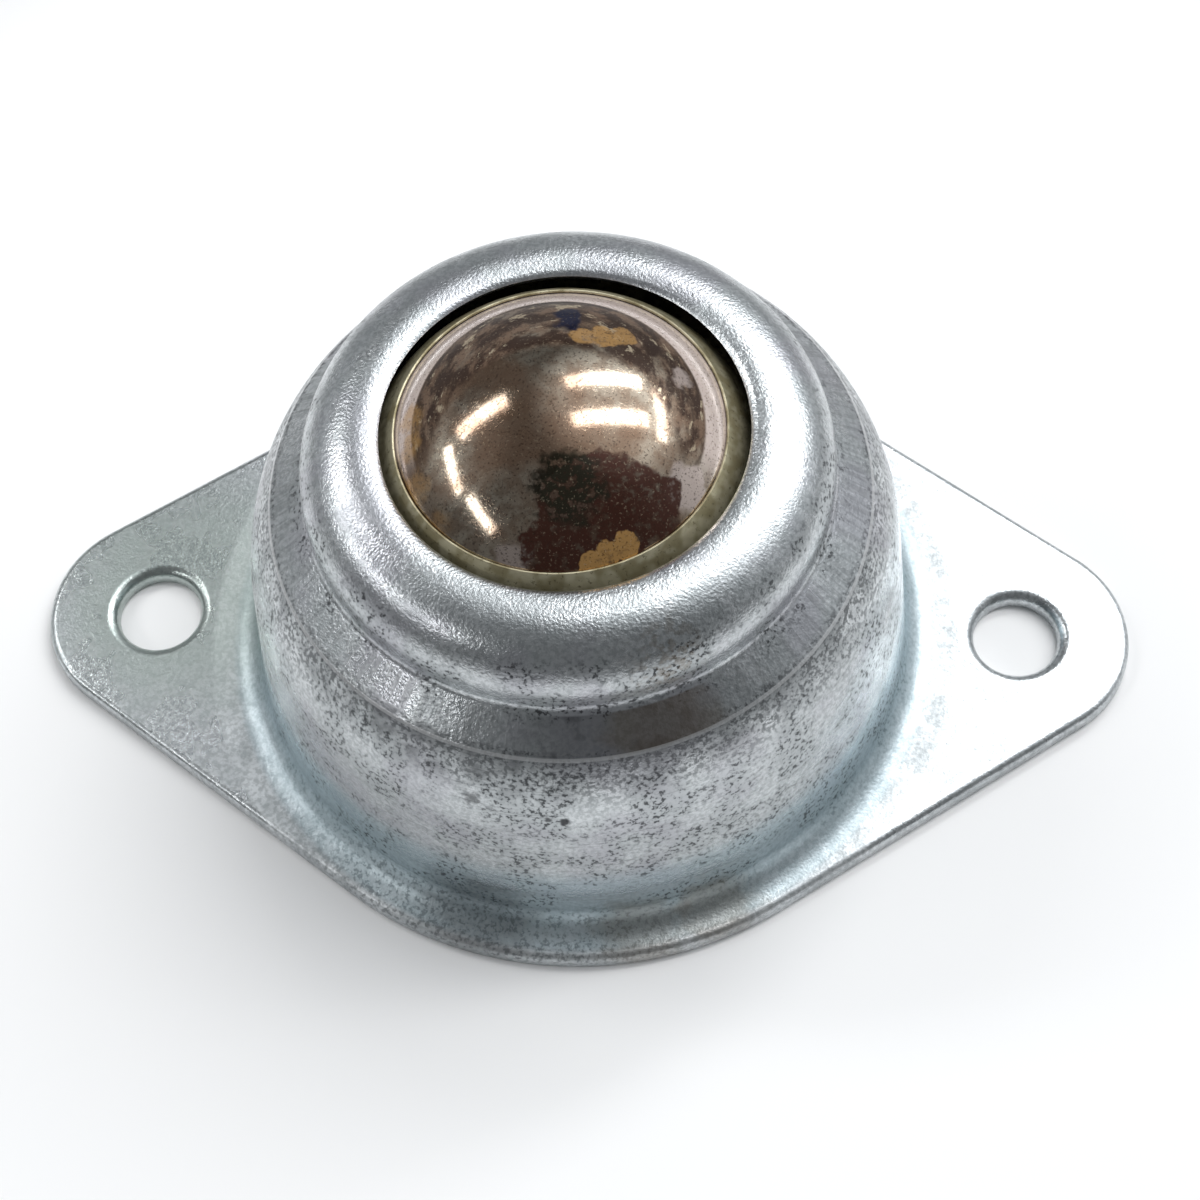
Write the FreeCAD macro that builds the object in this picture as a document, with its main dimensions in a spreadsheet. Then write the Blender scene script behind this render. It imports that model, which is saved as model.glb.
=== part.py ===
# Flange mounted ball castor: a pressed housing, a large ball, and the bearing set that carries it.
# Frame: millimetres, +Z up along the ball's axis, +X along the line of the two screw holes.
# Origin: centre of the flange's underside, which is the face that is screwed down.
import FreeCAD, Part
import enum
import math
import os

import Sketcher

# Driving dimensions, in millimetres and degrees.
SIZES = {
    "ball_radius": 12.7,
    "last_row": 79.2,  # degrees from the bottom of the race up to the last row of small balls
    "pitch_gap": 0.2757,  # free space between a small ball and one in the next row
    "row_gap": 0.12,  # free space between neighbours in a row
    "running_gap": 0.05,  # between each small ball and what it runs on
    "seat_shift": -0.25,  # the ball and its bearing rest this far along X, within their play
    "race_wall": 1.3,
    "race_drop": 0.2,  # the race's rim lies this far below the ball's centre
    "race_flange_wall": 1.2,
    "race_play": 0.367,  # between the race's rim and the housing
    "base_gap": 0.2,  # between the race and the plane of the flange's underside
    "cap_gap": 0.08,  # between the ball and the retainer's collar
    "cap_wall": 0.4,  # sheet of the retainer
    "cap_rim": 8.05,  # the collar ends this far above the ball's centre
    "cap_bend": 0.8,  # hollow bend between the collar and its brim
    "brim_play": 0.42,  # between the retainer's brim and the housing
    "seat_gap": 0.05,  # between pieces that rest on each other
    "ring_room": 0.5,  # between the race's bowl and the closing ring
    "ring_drop": 3.9,  # the closing ring reaches this far below the middle of the swell's arc
    "ring_gap": 0.02,  # between the closing ring and the housing that it is pressed into
    "wall": 1.3,  # sheet of the pressed housing
    "skirt_room": 3.6,  # from the race's bowl to the fullest part of the lower tier's swell
    "dome_radius": 13.74,  # swell of the lower tier, seen from the side
    "dome_rise": 7.3,  # from the middle of the swell's arc to the step
    "step_rise": 1.4,  # from the ball's centre up to the step
    "step_round": 0.15,
    "ledge_width": 2.4,  # from the neck out to the step
    "ledge_slope": 40.5,  # degrees that the ledge falls outwards
    "ledge_bend": 0.7,  # hollow bend between neck and ledge
    "neck_rise": 1.1,  # from the foot of the neck up to the middle of the lip's roll
    "lip_radius": 3.9,  # outside of the rolled lip
    "mouth_gap": 0.446,  # between the retainer's collar and the mouth's lower edge
    "mouth_flare": 0.65,  # the mouth's lower edge is this much further out than its upper edge
    "mouth_round": 0.25,  # worn edge of the mouth
    "skirt_lean": 5.0,  # degrees that the lower tier's wall flares outwards to its foot
    "foot_radius": 2.0,  # hollow bend from the lower tier into the flange
    "flange_land": 0.631,  # flat ring round the foot, at the waist of the flange
    "hole_offset": 5.531,  # from the foot's bend to the middle of a screw hole
    "hole_radius": 2.8,
    "ear_radius": 7.5,  # round end of each ear, about its hole
    "hole_round": 0.8,  # rolled upper edge of a screw hole
    "edge_round": 0.55,  # rolled upper edge of the flange
    "lower_round": 0.2,  # lower edges of the flange and its holes
}

ROWS = 6  # rings of small balls above the single one at the bottom of the race

# Sizes that follow from the driving ones. Names that end in low, top or under are measured
# from the ball's centre, and the other heights from the flange's underside. The row pitch is
# an angle about the ball's centre, and the small balls are as large as that pitch lets them be.
FITS = {
    "row_pitch": f"sizes.last_row / {ROWS}",
    "half_chord": "sin(fits.row_pitch / 2 * 1 deg)",
    "support_radius": "((sizes.ball_radius + sizes.running_gap) * fits.half_chord"
    " - sizes.pitch_gap / 2) / (1 - fits.half_chord)",
    "orbit": "sizes.ball_radius + sizes.running_gap + fits.support_radius",
    "race_inner": "fits.orbit + fits.support_radius + sizes.running_gap",
    "race_outer": "fits.race_inner + sizes.race_wall",
    "race_top": "-sizes.race_drop",
    "race_under": "fits.race_top - sizes.race_flange_wall",
    "ball_height": "fits.race_outer + sizes.base_gap",
    "skirt_radius": "fits.race_outer + sizes.skirt_room",
    "step_height": "fits.ball_height + sizes.step_rise",
    "spring_height": "fits.step_height - sizes.dome_rise",
    "dome_middle": "fits.skirt_radius - sizes.dome_radius",
    "heel_height": "sizes.wall + sizes.foot_radius",
    "seam_radius": "fits.dome_middle + (sizes.dome_radius + sizes.foot_radius"
    " + (fits.spring_height - fits.heel_height) * sin(sizes.skirt_lean * 1 deg))"
    " / cos(sizes.skirt_lean * 1 deg)",
    "waist_radius": "fits.seam_radius + sizes.flange_land",
    "hole_reach": "fits.seam_radius + sizes.hole_offset",
    "step_radius": "fits.dome_middle + sqrt(sizes.dome_radius ^ 2 - sizes.dome_rise ^ 2)",
    "neck_radius": "fits.step_radius - sizes.ledge_width",
    "neck_foot": "fits.step_height + sizes.ledge_width * tan(sizes.ledge_slope * 1 deg)",
    "lip_middle": "fits.neck_radius - sizes.lip_radius",
    "lip_height": "fits.neck_foot + sizes.neck_rise",
    "lip_inner": "sizes.lip_radius - sizes.wall",
    "cap_inner": "sizes.ball_radius + sizes.cap_gap",
    "cap_outer": "fits.cap_inner + sizes.cap_wall",
    "mouth_reach": "fits.cap_outer + sizes.mouth_gap",
    "brim_low": "fits.race_top + sizes.seat_gap",
    "brim_top": "fits.brim_low + sizes.cap_wall",
    "dome_inner": "sizes.dome_radius - sizes.wall",
    "race_flange": "fits.dome_middle - sizes.race_play"
    " + sqrt(fits.dome_inner ^ 2 - (fits.ball_height + fits.race_top - fits.spring_height) ^ 2)",
    "brim_radius": "fits.dome_middle - sizes.brim_play"
    " + sqrt(fits.dome_inner ^ 2 - (fits.ball_height + fits.brim_top - fits.spring_height) ^ 2)",
    "ring_swell": "fits.dome_inner - sizes.ring_gap",
    "ring_side": "fits.dome_middle + (fits.ring_swell"
    " + sizes.ring_drop * sin(sizes.skirt_lean * 1 deg)) / cos(sizes.skirt_lean * 1 deg)",
    "ring_bore": "fits.race_outer + sizes.ring_room",
    "ring_crown": "fits.ball_height + fits.race_under - sizes.seat_gap",
    "ring_foot": "fits.spring_height - sizes.ring_drop",
}

NEAR = 1e-4  # two heights or radii that differ by less are the same


class Spot(enum.IntEnum):
    """Point numbers of a line or an arc in a sketch."""

    START = 1
    END = 2
    CENTRE = 3


class Axis(enum.IntEnum):
    """A sketch's own axes; the zero point is the start of the first."""

    ACROSS = -1
    UP = -2


START, END, CENTRE = Spot.START, Spot.END, Spot.CENTRE
X_AXIS, Y_AXIS = Axis.ACROSS, Axis.UP
ORIGIN, ROOT = Axis.ACROSS, Spot.START


def make_sheet(doc):
    """The spreadsheet that drives every sketch."""
    sheet = doc.addObject("Spreadsheet::Sheet", "sizes")
    for row, (name, value) in enumerate(SIZES.items(), start=1):
        sheet.set(f"A{row}", name)
        sheet.set(f"B{row}", str(value))
        sheet.setAlias(f"B{row}", name)
    doc.recompute()


def make_fits(doc):
    """The sizes that follow from the sheet, each by its own formula."""
    fits = doc.addObject("App::VarSet", "fits")
    for name, formula in FITS.items():
        fits.addProperty("App::PropertyFloat", name)
        fits.setExpression(name, formula)
        doc.recompute()
    return fits


def make_body(doc, label):
    body = doc.addObject("PartDesign::Body", label)
    body.Label = label
    return body


def sit_on_ball(thing):
    """Moves a piece that was drawn about the ball's centre to its place in the housing."""
    thing.setExpression("Placement.Base.x", "sizes.seat_shift")
    thing.setExpression("Placement.Base.z", "fits.ball_height")


class Profile:
    """A sketch on one of a body's own planes, tied to the sheet."""

    def __init__(self, body, name, plane="XZ_Plane"):
        self.body = body
        self.sketch = body.newObject("Sketcher::SketchObject", name)
        face = next(f for f in body.Origin.OriginFeatures if f.Role == plane)
        self.sketch.AttachmentSupport = [(face, "")]
        self.sketch.MapMode = "FlatFace"

    def line(self, start, end):
        piece = Part.LineSegment(FreeCAD.Vector(*start), FreeCAD.Vector(*end))
        return self.sketch.addGeometry(piece, False)

    def circle(self, centre, radius):
        piece = Part.Circle(FreeCAD.Vector(*centre), FreeCAD.Vector(0, 0, 1), radius)
        return self.sketch.addGeometry(piece, False)

    def point(self, place):
        return self.sketch.addGeometry(Part.Point(FreeCAD.Vector(*place)), True)

    def arc(self, centre, radius, first, last):
        """An arc that runs anticlockwise from the first angle to the last, in degrees."""
        whole = Part.Circle(FreeCAD.Vector(*centre), FreeCAD.Vector(0, 0, 1), radius)
        piece = Part.ArcOfCircle(whole, math.radians(first), math.radians(last))
        return self.sketch.addGeometry(piece, False)

    def tie(self, kind, *places):
        return self.sketch.addConstraint(Sketcher.Constraint(kind, *places))

    def smooth(self, *joins):
        """Joins ends so that one curve runs on into the next."""
        for join in joins:
            self.tie("Tangent", *join)

    def meet(self, *joins):
        """Joins ends at a corner, or the middles of two arcs."""
        for join in joins:
            self.tie("Coincident", *join)

    def size(self, kind, formula, start_value, *places):
        """A dimension whose value is a formula of the sheet's cells."""
        number = self.sketch.addConstraint(Sketcher.Constraint(kind, *places, start_value))
        self.sketch.setExpression(f"Constraints[{number}]", formula)

    def across(self, formula, start_value, geometry, point):
        self.size("DistanceX", formula, start_value, ORIGIN, ROOT, geometry, point)

    def up(self, formula, start_value, geometry, point):
        self.size("DistanceY", formula, start_value, ORIGIN, ROOT, geometry, point)

    def radius(self, formula, start_value, geometry):
        self.size("Radius", formula, start_value, geometry)

    def revolve(self, name):
        """A full turn about the upright axis."""
        turn = self.body.newObject("PartDesign::Revolution", name)
        turn.Profile = self.sketch
        turn.ReferenceAxis = (self.sketch, ["V_Axis"])
        turn.Angle = 360.0
        return turn


def flange_outline(body, fits):
    """Round middle, two round ears, and the straight flanks that touch both."""
    half, waist, ear = fits.hole_reach, fits.waist_radius, SIZES["ear_radius"]
    lean = math.degrees(math.acos((waist - ear) / half))

    def touch(middle, radius, angle):
        turn = math.radians(angle)
        return (middle + radius * math.cos(turn), radius * math.sin(turn), 0)

    plan = Profile(body, "flange_plan", "XY_Plane")
    rear = plan.arc((0, 0, 0), waist, lean, 180 - lean)
    front = plan.arc((0, 0, 0), waist, 180 + lean, 360 - lean)
    right = plan.arc((half, 0, 0), ear, -lean, lean)
    left = plan.arc((-half, 0, 0), ear, 180 - lean, 180 + lean)
    flanks = (
        plan.line(touch(half, ear, lean), touch(0, waist, lean)),
        plan.line(touch(0, waist, 180 - lean), touch(-half, ear, 180 - lean)),
        plan.line(touch(-half, ear, 180 + lean), touch(0, waist, 180 + lean)),
        plan.line(touch(0, waist, 360 - lean), touch(half, ear, 360 - lean)),
    )
    plan.smooth(
        (right, END, flanks[0], START), (flanks[0], END, rear, START),
        (rear, END, flanks[1], START), (flanks[1], END, left, START),
        (left, END, flanks[2], START), (flanks[2], END, front, START),
        (front, END, flanks[3], START), (flanks[3], END, right, START),
    )
    plan.meet((rear, CENTRE, ORIGIN, ROOT), (front, CENTRE, ORIGIN, ROOT))
    for ear_arc, sign in ((right, 1), (left, -1)):
        plan.tie("PointOnObject", ear_arc, CENTRE, X_AXIS)
        plan.across(f"{sign} * fits.hole_reach", sign * half, ear_arc, CENTRE)
        plan.radius("sizes.ear_radius", ear, ear_arc)
    plan.radius("fits.waist_radius", waist, rear)
    plan.tie("Equal", rear, front)

    opening = plan.circle((0, 0, 0), fits.seam_radius)
    plan.meet((opening, CENTRE, ORIGIN, ROOT))
    plan.radius("fits.seam_radius", fits.seam_radius, opening)
    return plan.sketch


def crossing(middle, radius, reach):
    """Upper point that lies at this radius from the middle and at this reach from the ball."""
    away = math.hypot(*middle)
    turn = math.acos((reach ** 2 + away ** 2 - radius ** 2) / (2 * reach * away))
    angle = math.atan2(middle[1], middle[0]) + turn
    return (reach * math.cos(angle), reach * math.sin(angle))


def shell_profile(body, fits):
    """Section of the drawn shell, from the mouth's rolled lip down to the foot's bend."""
    wall = SIZES["wall"]
    lip, lip_in_radius = SIZES["lip_radius"], fits.lip_inner
    lip_x, lip_z, neck = fits.lip_middle, fits.lip_height, fits.neck_radius
    bend, slope = SIZES["ledge_bend"], math.radians(SIZES["ledge_slope"])
    spring, lean = fits.spring_height, SIZES["skirt_lean"]
    dome, dome_x = SIZES["dome_radius"], fits.dome_middle
    step_x, step_z = fits.step_radius, fits.step_height
    foot, foot_x, foot_z = SIZES["foot_radius"], fits.seam_radius, fits.heel_height

    # Where the bend has its middle, and where the ledge's underside runs into the dome.
    away = (math.sin(slope), math.cos(slope))
    bend_x = neck + bend
    reach = (step_x - bend_x + away[0] * bend) / math.cos(slope)
    bend_z = step_z + reach * math.sin(slope) + away[1] * bend
    bend_end = 270 - SIZES["ledge_slope"]
    step_angle = math.degrees(math.asin((step_z - spring) / dome))
    fall = away[0] * (step_x - dome_x) + away[1] * (step_z - spring) - wall
    under_angle = 90 - SIZES["ledge_slope"] - math.degrees(math.acos(fall / (dome - wall)))

    # The mouth's cut edge, from the gap to the collar out to the roll's outside.
    ball_z = fits.ball_height
    inner_x, inner_z = crossing((lip_x, lip_z - ball_z), lip_in_radius, fits.mouth_reach)
    inner_mouth = math.degrees(math.atan2(inner_z + ball_z - lip_z, inner_x - lip_x))
    outer_mouth = math.degrees(math.acos((inner_x - SIZES["mouth_flare"] - lip_x) / lip))

    def on_arc(middle, radius, angle):
        turn = math.radians(angle)
        return (middle[0] + radius * math.cos(turn), middle[1] + radius * math.sin(turn), 0)

    roll, curve = (lip_x, lip_z), (dome_x, spring)
    hollow, heel = (bend_x, bend_z), (foot_x, foot_z)
    shell = Profile(body, "shell_section")
    lip_out = shell.arc((*roll, 0), lip, 0, outer_mouth)
    lip_in = shell.arc((*roll, 0), lip_in_radius, 0, inner_mouth)
    mouth = shell.line(on_arc(roll, lip, outer_mouth), on_arc(roll, lip_in_radius, inner_mouth))
    neck_out = shell.line((neck, lip_z, 0), (neck, bend_z, 0))
    bend_out = shell.arc((*hollow, 0), bend, 180, bend_end)
    ledge_out = shell.line(on_arc(hollow, bend, bend_end), (step_x, step_z, 0))
    dome_out = shell.arc((*curve, 0), dome, lean, step_angle)
    skirt_out = shell.line(on_arc(curve, dome, lean), on_arc(heel, foot, 180 + lean))
    foot_out = shell.arc((*heel, 0), foot, 180 + lean, 270)
    foot_end = shell.line((foot_x, wall, 0), (foot_x, 0, 0))
    foot_in = shell.arc((*heel, 0), foot + wall, 180 + lean, 270)
    skirt_in = shell.line(
        on_arc(heel, foot + wall, 180 + lean), on_arc(curve, dome - wall, lean)
    )
    dome_in = shell.arc((*curve, 0), dome - wall, lean, under_angle)
    ledge_in = shell.line(
        on_arc(curve, dome - wall, under_angle), on_arc(hollow, bend + wall, bend_end)
    )
    bend_in = shell.arc((*hollow, 0), bend + wall, 180, bend_end)
    neck_in = shell.line((neck - wall, bend_z, 0), (neck - wall, lip_z, 0))
    ball = shell.point((0, ball_z, 0))

    shell.smooth(
        (lip_out, START, neck_out, START), (neck_out, END, bend_out, START),
        (bend_out, END, ledge_out, START), (dome_out, START, skirt_out, START),
        (skirt_out, END, foot_out, START), (foot_in, START, skirt_in, START),
        (skirt_in, END, dome_in, START), (ledge_in, END, bend_in, END),
        (bend_in, START, neck_in, START), (neck_in, END, lip_in, START),
    )
    shell.meet(
        (lip_out, END, mouth, START), (mouth, END, lip_in, END),
        (ledge_out, END, dome_out, END), (foot_out, END, foot_end, START),
        (foot_end, END, foot_in, END), (dome_in, END, ledge_in, START),
        (lip_in, CENTRE, lip_out, CENTRE), (bend_in, CENTRE, bend_out, CENTRE),
        (dome_in, CENTRE, dome_out, CENTRE), (foot_in, CENTRE, foot_out, CENTRE),
    )
    for upright in (neck_out, foot_end):
        shell.tie("Vertical", upright)
    shell.tie("Vertical", foot_out, END, foot_out, CENTRE)
    shell.tie("Parallel", ledge_out, ledge_in)
    shell.tie("Parallel", skirt_out, skirt_in)
    shell.tie("PointOnObject", ball, START, Y_AXIS)

    shell.up("fits.ball_height", ball_z, ball, START)
    shell.size("Distance", "fits.mouth_reach", fits.mouth_reach, ball, START, lip_in, END)
    shell.size("DistanceX", "sizes.mouth_flare", SIZES["mouth_flare"], mouth, START, mouth, END)
    shell.up("fits.lip_height", lip_z, lip_out, CENTRE)
    shell.radius("sizes.lip_radius", lip, lip_out)
    shell.radius("fits.lip_inner", lip_in_radius, lip_in)
    shell.across("fits.neck_radius", neck, neck_out, START)
    shell.radius("sizes.ledge_bend", bend, bend_out)
    shell.radius("sizes.ledge_bend + sizes.wall", bend + wall, bend_in)
    shell.up("fits.step_height", step_z, dome_out, END)
    shell.radius("sizes.dome_radius", dome, dome_out)
    shell.radius("fits.dome_inner", dome - wall, dome_in)
    shell.across("fits.dome_middle", dome_x, dome_out, CENTRE)
    shell.up("fits.spring_height", spring, dome_out, CENTRE)
    shell.radius("sizes.foot_radius", foot, foot_out)
    shell.up("sizes.wall", wall, foot_end, START)
    shell.size("Angle", "-sizes.ledge_slope * 1 deg", -slope, ledge_out)
    fall_angle = math.radians(lean - 90)
    shell.size("Angle", "(sizes.skirt_lean - 90) * 1 deg", fall_angle, skirt_out)
    return shell


def named_edges(shape, wanted):
    """Names of the edges that a test picks out."""
    return [f"Edge{number}" for number, edge in enumerate(shape.Edges, start=1) if wanted(edge)]


def round_edges(doc, body, name, formula, wanted):
    """Rounds the picked edges of what the body is so far."""
    base = body.Tip
    rounding = body.newObject("PartDesign::Fillet", name)
    rounding.Base = (base, named_edges(base.Shape, wanted))
    rounding.setExpression("Radius", formula)
    doc.recompute()


def is_round(edge):
    return edge.Curve.TypeId == "Part::GeomCircle"


def is_circle(edge, radius):
    return is_round(edge) and abs(edge.Curve.Radius - radius) < NEAR


def is_flat_at(edge, height):
    box = edge.BoundBox
    return abs(box.ZMin - height) < NEAR and abs(box.ZMax - height) < NEAR


def make_housing(doc, fits):
    """One pressing: drawn shell, rolled lip, step, flange with two ears and two screw holes."""
    body = make_body(doc, "housing")
    plate = body.newObject("PartDesign::Pad", "flange")
    plate.Profile = flange_outline(body, fits)
    plate.setExpression("Length", "sizes.wall")
    doc.recompute()
    shell_profile(body, fits).revolve("shell")
    doc.recompute()

    holes = Profile(body, "hole_plan", "XY_Plane")
    for sign in (1, -1):
        middle = sign * fits.hole_reach
        hole = holes.circle((middle, 0, 0), SIZES["hole_radius"])
        holes.tie("PointOnObject", hole, CENTRE, X_AXIS)
        holes.across(f"{sign} * fits.hole_reach", middle, hole, CENTRE)
        holes.radius("sizes.hole_radius", SIZES["hole_radius"], hole)
    cut = body.newObject("PartDesign::Pocket", "screw_holes")
    cut.Profile = holes.sketch
    cut.Midplane = True
    cut.Type = "ThroughAll"
    doc.recompute()

    wall = SIZES["wall"]
    mouth_z = (fits.lip_height, fits.lip_height + SIZES["lip_radius"])

    def at_step(edge):
        return is_flat_at(edge, fits.step_height)

    def at_mouth(edge):
        box = edge.BoundBox
        inside = is_round(edge) and edge.Curve.Radius < fits.lip_middle
        return inside and box.ZMin > mouth_z[0] + fits.lip_inner and box.ZMax < mouth_z[1]

    def at_hole_top(edge):
        return is_circle(edge, SIZES["hole_radius"]) and is_flat_at(edge, wall)

    def at_rim_top(edge):
        hole = is_round(edge) and edge.Curve.Radius < SIZES["ear_radius"]
        return is_flat_at(edge, wall) and not hole and not is_circle(edge, fits.seam_radius)

    def at_rim_foot(edge):
        return is_flat_at(edge, 0) and not is_circle(edge, fits.seam_radius)

    round_edges(doc, body, "step_edge", "sizes.step_round", at_step)
    round_edges(doc, body, "mouth_edge", "sizes.mouth_round", at_mouth)
    round_edges(doc, body, "rolled_holes", "sizes.hole_round", at_hole_top)
    round_edges(doc, body, "rolled_rim", "sizes.edge_round", at_rim_top)
    round_edges(doc, body, "lower_edges", "sizes.lower_round", at_rim_foot)
    return body


def make_retainer(doc, fits):
    """Thin cap that hugs the ball above its middle and covers the small balls with its brim."""
    inner, outer = fits.cap_inner, fits.cap_outer
    wall, bend = SIZES["cap_wall"], SIZES["cap_bend"]
    low, top, brim = fits.brim_low, fits.brim_top, fits.brim_radius
    bend_z = top + bend
    bend_x = math.sqrt((outer + bend) ** 2 - bend_z ** 2)
    foot_angle = math.degrees(math.atan2(bend_z, bend_x))
    rim_angle = math.degrees(math.asin(SIZES["cap_rim"] / inner))

    def on_cap(radius):
        turn = math.radians(rim_angle)
        return (radius * math.cos(turn), radius * math.sin(turn), 0)

    body = make_body(doc, "ball_retainer")
    cap = Profile(body, "cap_section")
    collar_in = cap.arc((0, 0, 0), inner, foot_angle, rim_angle)
    collar_out = cap.arc((0, 0, 0), outer, foot_angle, rim_angle)
    rim = cap.line(on_cap(inner), on_cap(outer))
    bend_out = cap.arc((bend_x, bend_z, 0), bend, 180 + foot_angle, 270)
    bend_in = cap.arc((bend_x, bend_z, 0), bend + wall, 180 + foot_angle, 270)
    brim_top = cap.line((bend_x, top, 0), (brim, top, 0))
    brim_end = cap.line((brim, top, 0), (brim, low, 0))
    brim_under = cap.line((brim, low, 0), (bend_x, low, 0))
    cap.smooth(
        (collar_out, START, bend_out, START), (bend_out, END, brim_top, START),
        (collar_in, START, bend_in, START), (bend_in, END, brim_under, END),
    )
    cap.meet(
        (collar_in, END, rim, START), (rim, END, collar_out, END),
        (brim_top, END, brim_end, START), (brim_end, END, brim_under, START),
        (collar_in, CENTRE, ORIGIN, ROOT), (collar_out, CENTRE, ORIGIN, ROOT),
    )
    cap.tie("PointOnObject", ORIGIN, ROOT, rim)
    cap.tie("Horizontal", brim_top)
    cap.tie("Horizontal", brim_under)
    cap.tie("Vertical", brim_end)
    cap.radius("fits.cap_inner", inner, collar_in)
    cap.radius("fits.cap_outer", outer, collar_out)
    cap.radius("sizes.cap_bend", bend, bend_out)
    cap.radius("sizes.cap_bend + sizes.cap_wall", bend + wall, bend_in)
    cap.up("sizes.cap_rim", SIZES["cap_rim"], collar_in, END)
    cap.up("fits.brim_top", top, brim_top, END)
    cap.up("fits.brim_low", low, brim_end, END)
    cap.across("fits.brim_radius", brim, brim_end, START)
    cap.revolve("cap")
    sit_on_ball(body)
    return body


def make_race(doc, fits):
    """Bowl that the small balls run in, with a turned out rim that rests on the closing ring."""
    inner, outer = fits.race_inner, fits.race_outer
    top, under, edge = fits.race_top, fits.race_under, fits.race_flange
    rim_angle = math.degrees(math.asin(top / inner))
    neck_angle = math.degrees(math.asin(under / outer))

    def on_bowl(radius, angle):
        turn = math.radians(angle)
        return (radius * math.cos(turn), radius * math.sin(turn), 0)

    body = make_body(doc, "ball_race")
    race = Profile(body, "race_section")
    bowl_in = race.arc((0, 0, 0), inner, 270, 360 + rim_angle)
    bowl_out = race.arc((0, 0, 0), outer, 270, 360 + neck_angle)
    rim_top = race.line(on_bowl(inner, rim_angle), (edge, top, 0))
    rim_end = race.line((edge, top, 0), (edge, under, 0))
    rim_under = race.line((edge, under, 0), on_bowl(outer, neck_angle))
    middle = race.line((0, -outer, 0), (0, -inner, 0))
    race.meet(
        (bowl_in, END, rim_top, START), (rim_top, END, rim_end, START),
        (rim_end, END, rim_under, START), (rim_under, END, bowl_out, END),
        (bowl_out, START, middle, START), (middle, END, bowl_in, START),
        (bowl_in, CENTRE, ORIGIN, ROOT), (bowl_out, CENTRE, ORIGIN, ROOT),
    )
    race.tie("PointOnObject", middle, START, Y_AXIS)
    race.tie("PointOnObject", middle, END, Y_AXIS)
    race.tie("Horizontal", rim_top)
    race.tie("Vertical", rim_end)
    race.tie("Horizontal", rim_under)
    race.radius("fits.race_inner", inner, bowl_in)
    race.radius("fits.race_outer", outer, bowl_out)
    race.up("fits.race_top", top, rim_top, END)
    race.up("fits.race_under", under, rim_end, END)
    race.across("fits.race_flange", edge, rim_end, START)
    race.revolve("bowl")
    sit_on_ball(body)
    return body


def make_closing_ring(doc, fits):
    """Ring pressed into the lower tier from below, which carries the race's rim."""
    side, bore, swell = fits.ring_side, fits.ring_bore, fits.ring_swell
    spring, crown_z, foot = fits.spring_height, fits.ring_crown, fits.ring_foot
    middle, lean = fits.dome_middle, math.radians(SIZES["skirt_lean"])
    angle = math.asin((crown_z - spring) / swell)
    crown_x = middle + swell * math.cos(angle)
    shoulder = (middle + swell * math.cos(lean), spring + swell * math.sin(lean), 0)

    body = make_body(doc, "closing_ring")
    ring = Profile(body, "ring_section")
    outer = ring.arc((middle, spring, 0), swell, SIZES["skirt_lean"], math.degrees(angle))
    crown = ring.line((crown_x, crown_z, 0), (bore, crown_z, 0))
    inside = ring.line((bore, crown_z, 0), (bore, foot, 0))
    base = ring.line((bore, foot, 0), (side, foot, 0))
    outside = ring.line((side, foot, 0), shoulder)
    ring.smooth((outside, END, outer, START))
    ring.meet(
        (outer, END, crown, START), (crown, END, inside, START),
        (inside, END, base, START), (base, END, outside, START),
    )
    ring.tie("Horizontal", crown)
    ring.tie("Vertical", inside)
    ring.tie("Horizontal", base)
    ring.radius("fits.ring_swell", swell, outer)
    ring.across("fits.dome_middle", middle, outer, CENTRE)
    ring.up("fits.spring_height", spring, outer, CENTRE)
    ring.across("fits.ring_side", side, base, END)
    ring.across("fits.ring_bore", bore, base, START)
    ring.up("fits.ring_foot", foot, base, START)
    ring.up("fits.ring_crown", crown_z, crown, END)
    ring.revolve("ring")
    return body


def make_ball(doc, label, radius):
    """A whole ball about its own centre."""
    ball = doc.addObject("Part::Sphere", label)
    ball.Label = label
    ball.setExpression("Radius", radius)
    ball.setExpression("Placement.Base.x", "sizes.seat_shift")
    return ball


def make_main_ball(doc):
    ball = make_ball(doc, "main_ball", "sizes.ball_radius")
    ball.setExpression("Placement.Base.z", "fits.ball_height")
    return ball


def make_bottom_ball(doc):
    """The single small ball at the lowest point of the race."""
    ball = make_ball(doc, "support_ball_bottom", "fits.support_radius")
    ball.setExpression("Placement.Base.z", "fits.ball_height - fits.orbit")
    return ball


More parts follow.
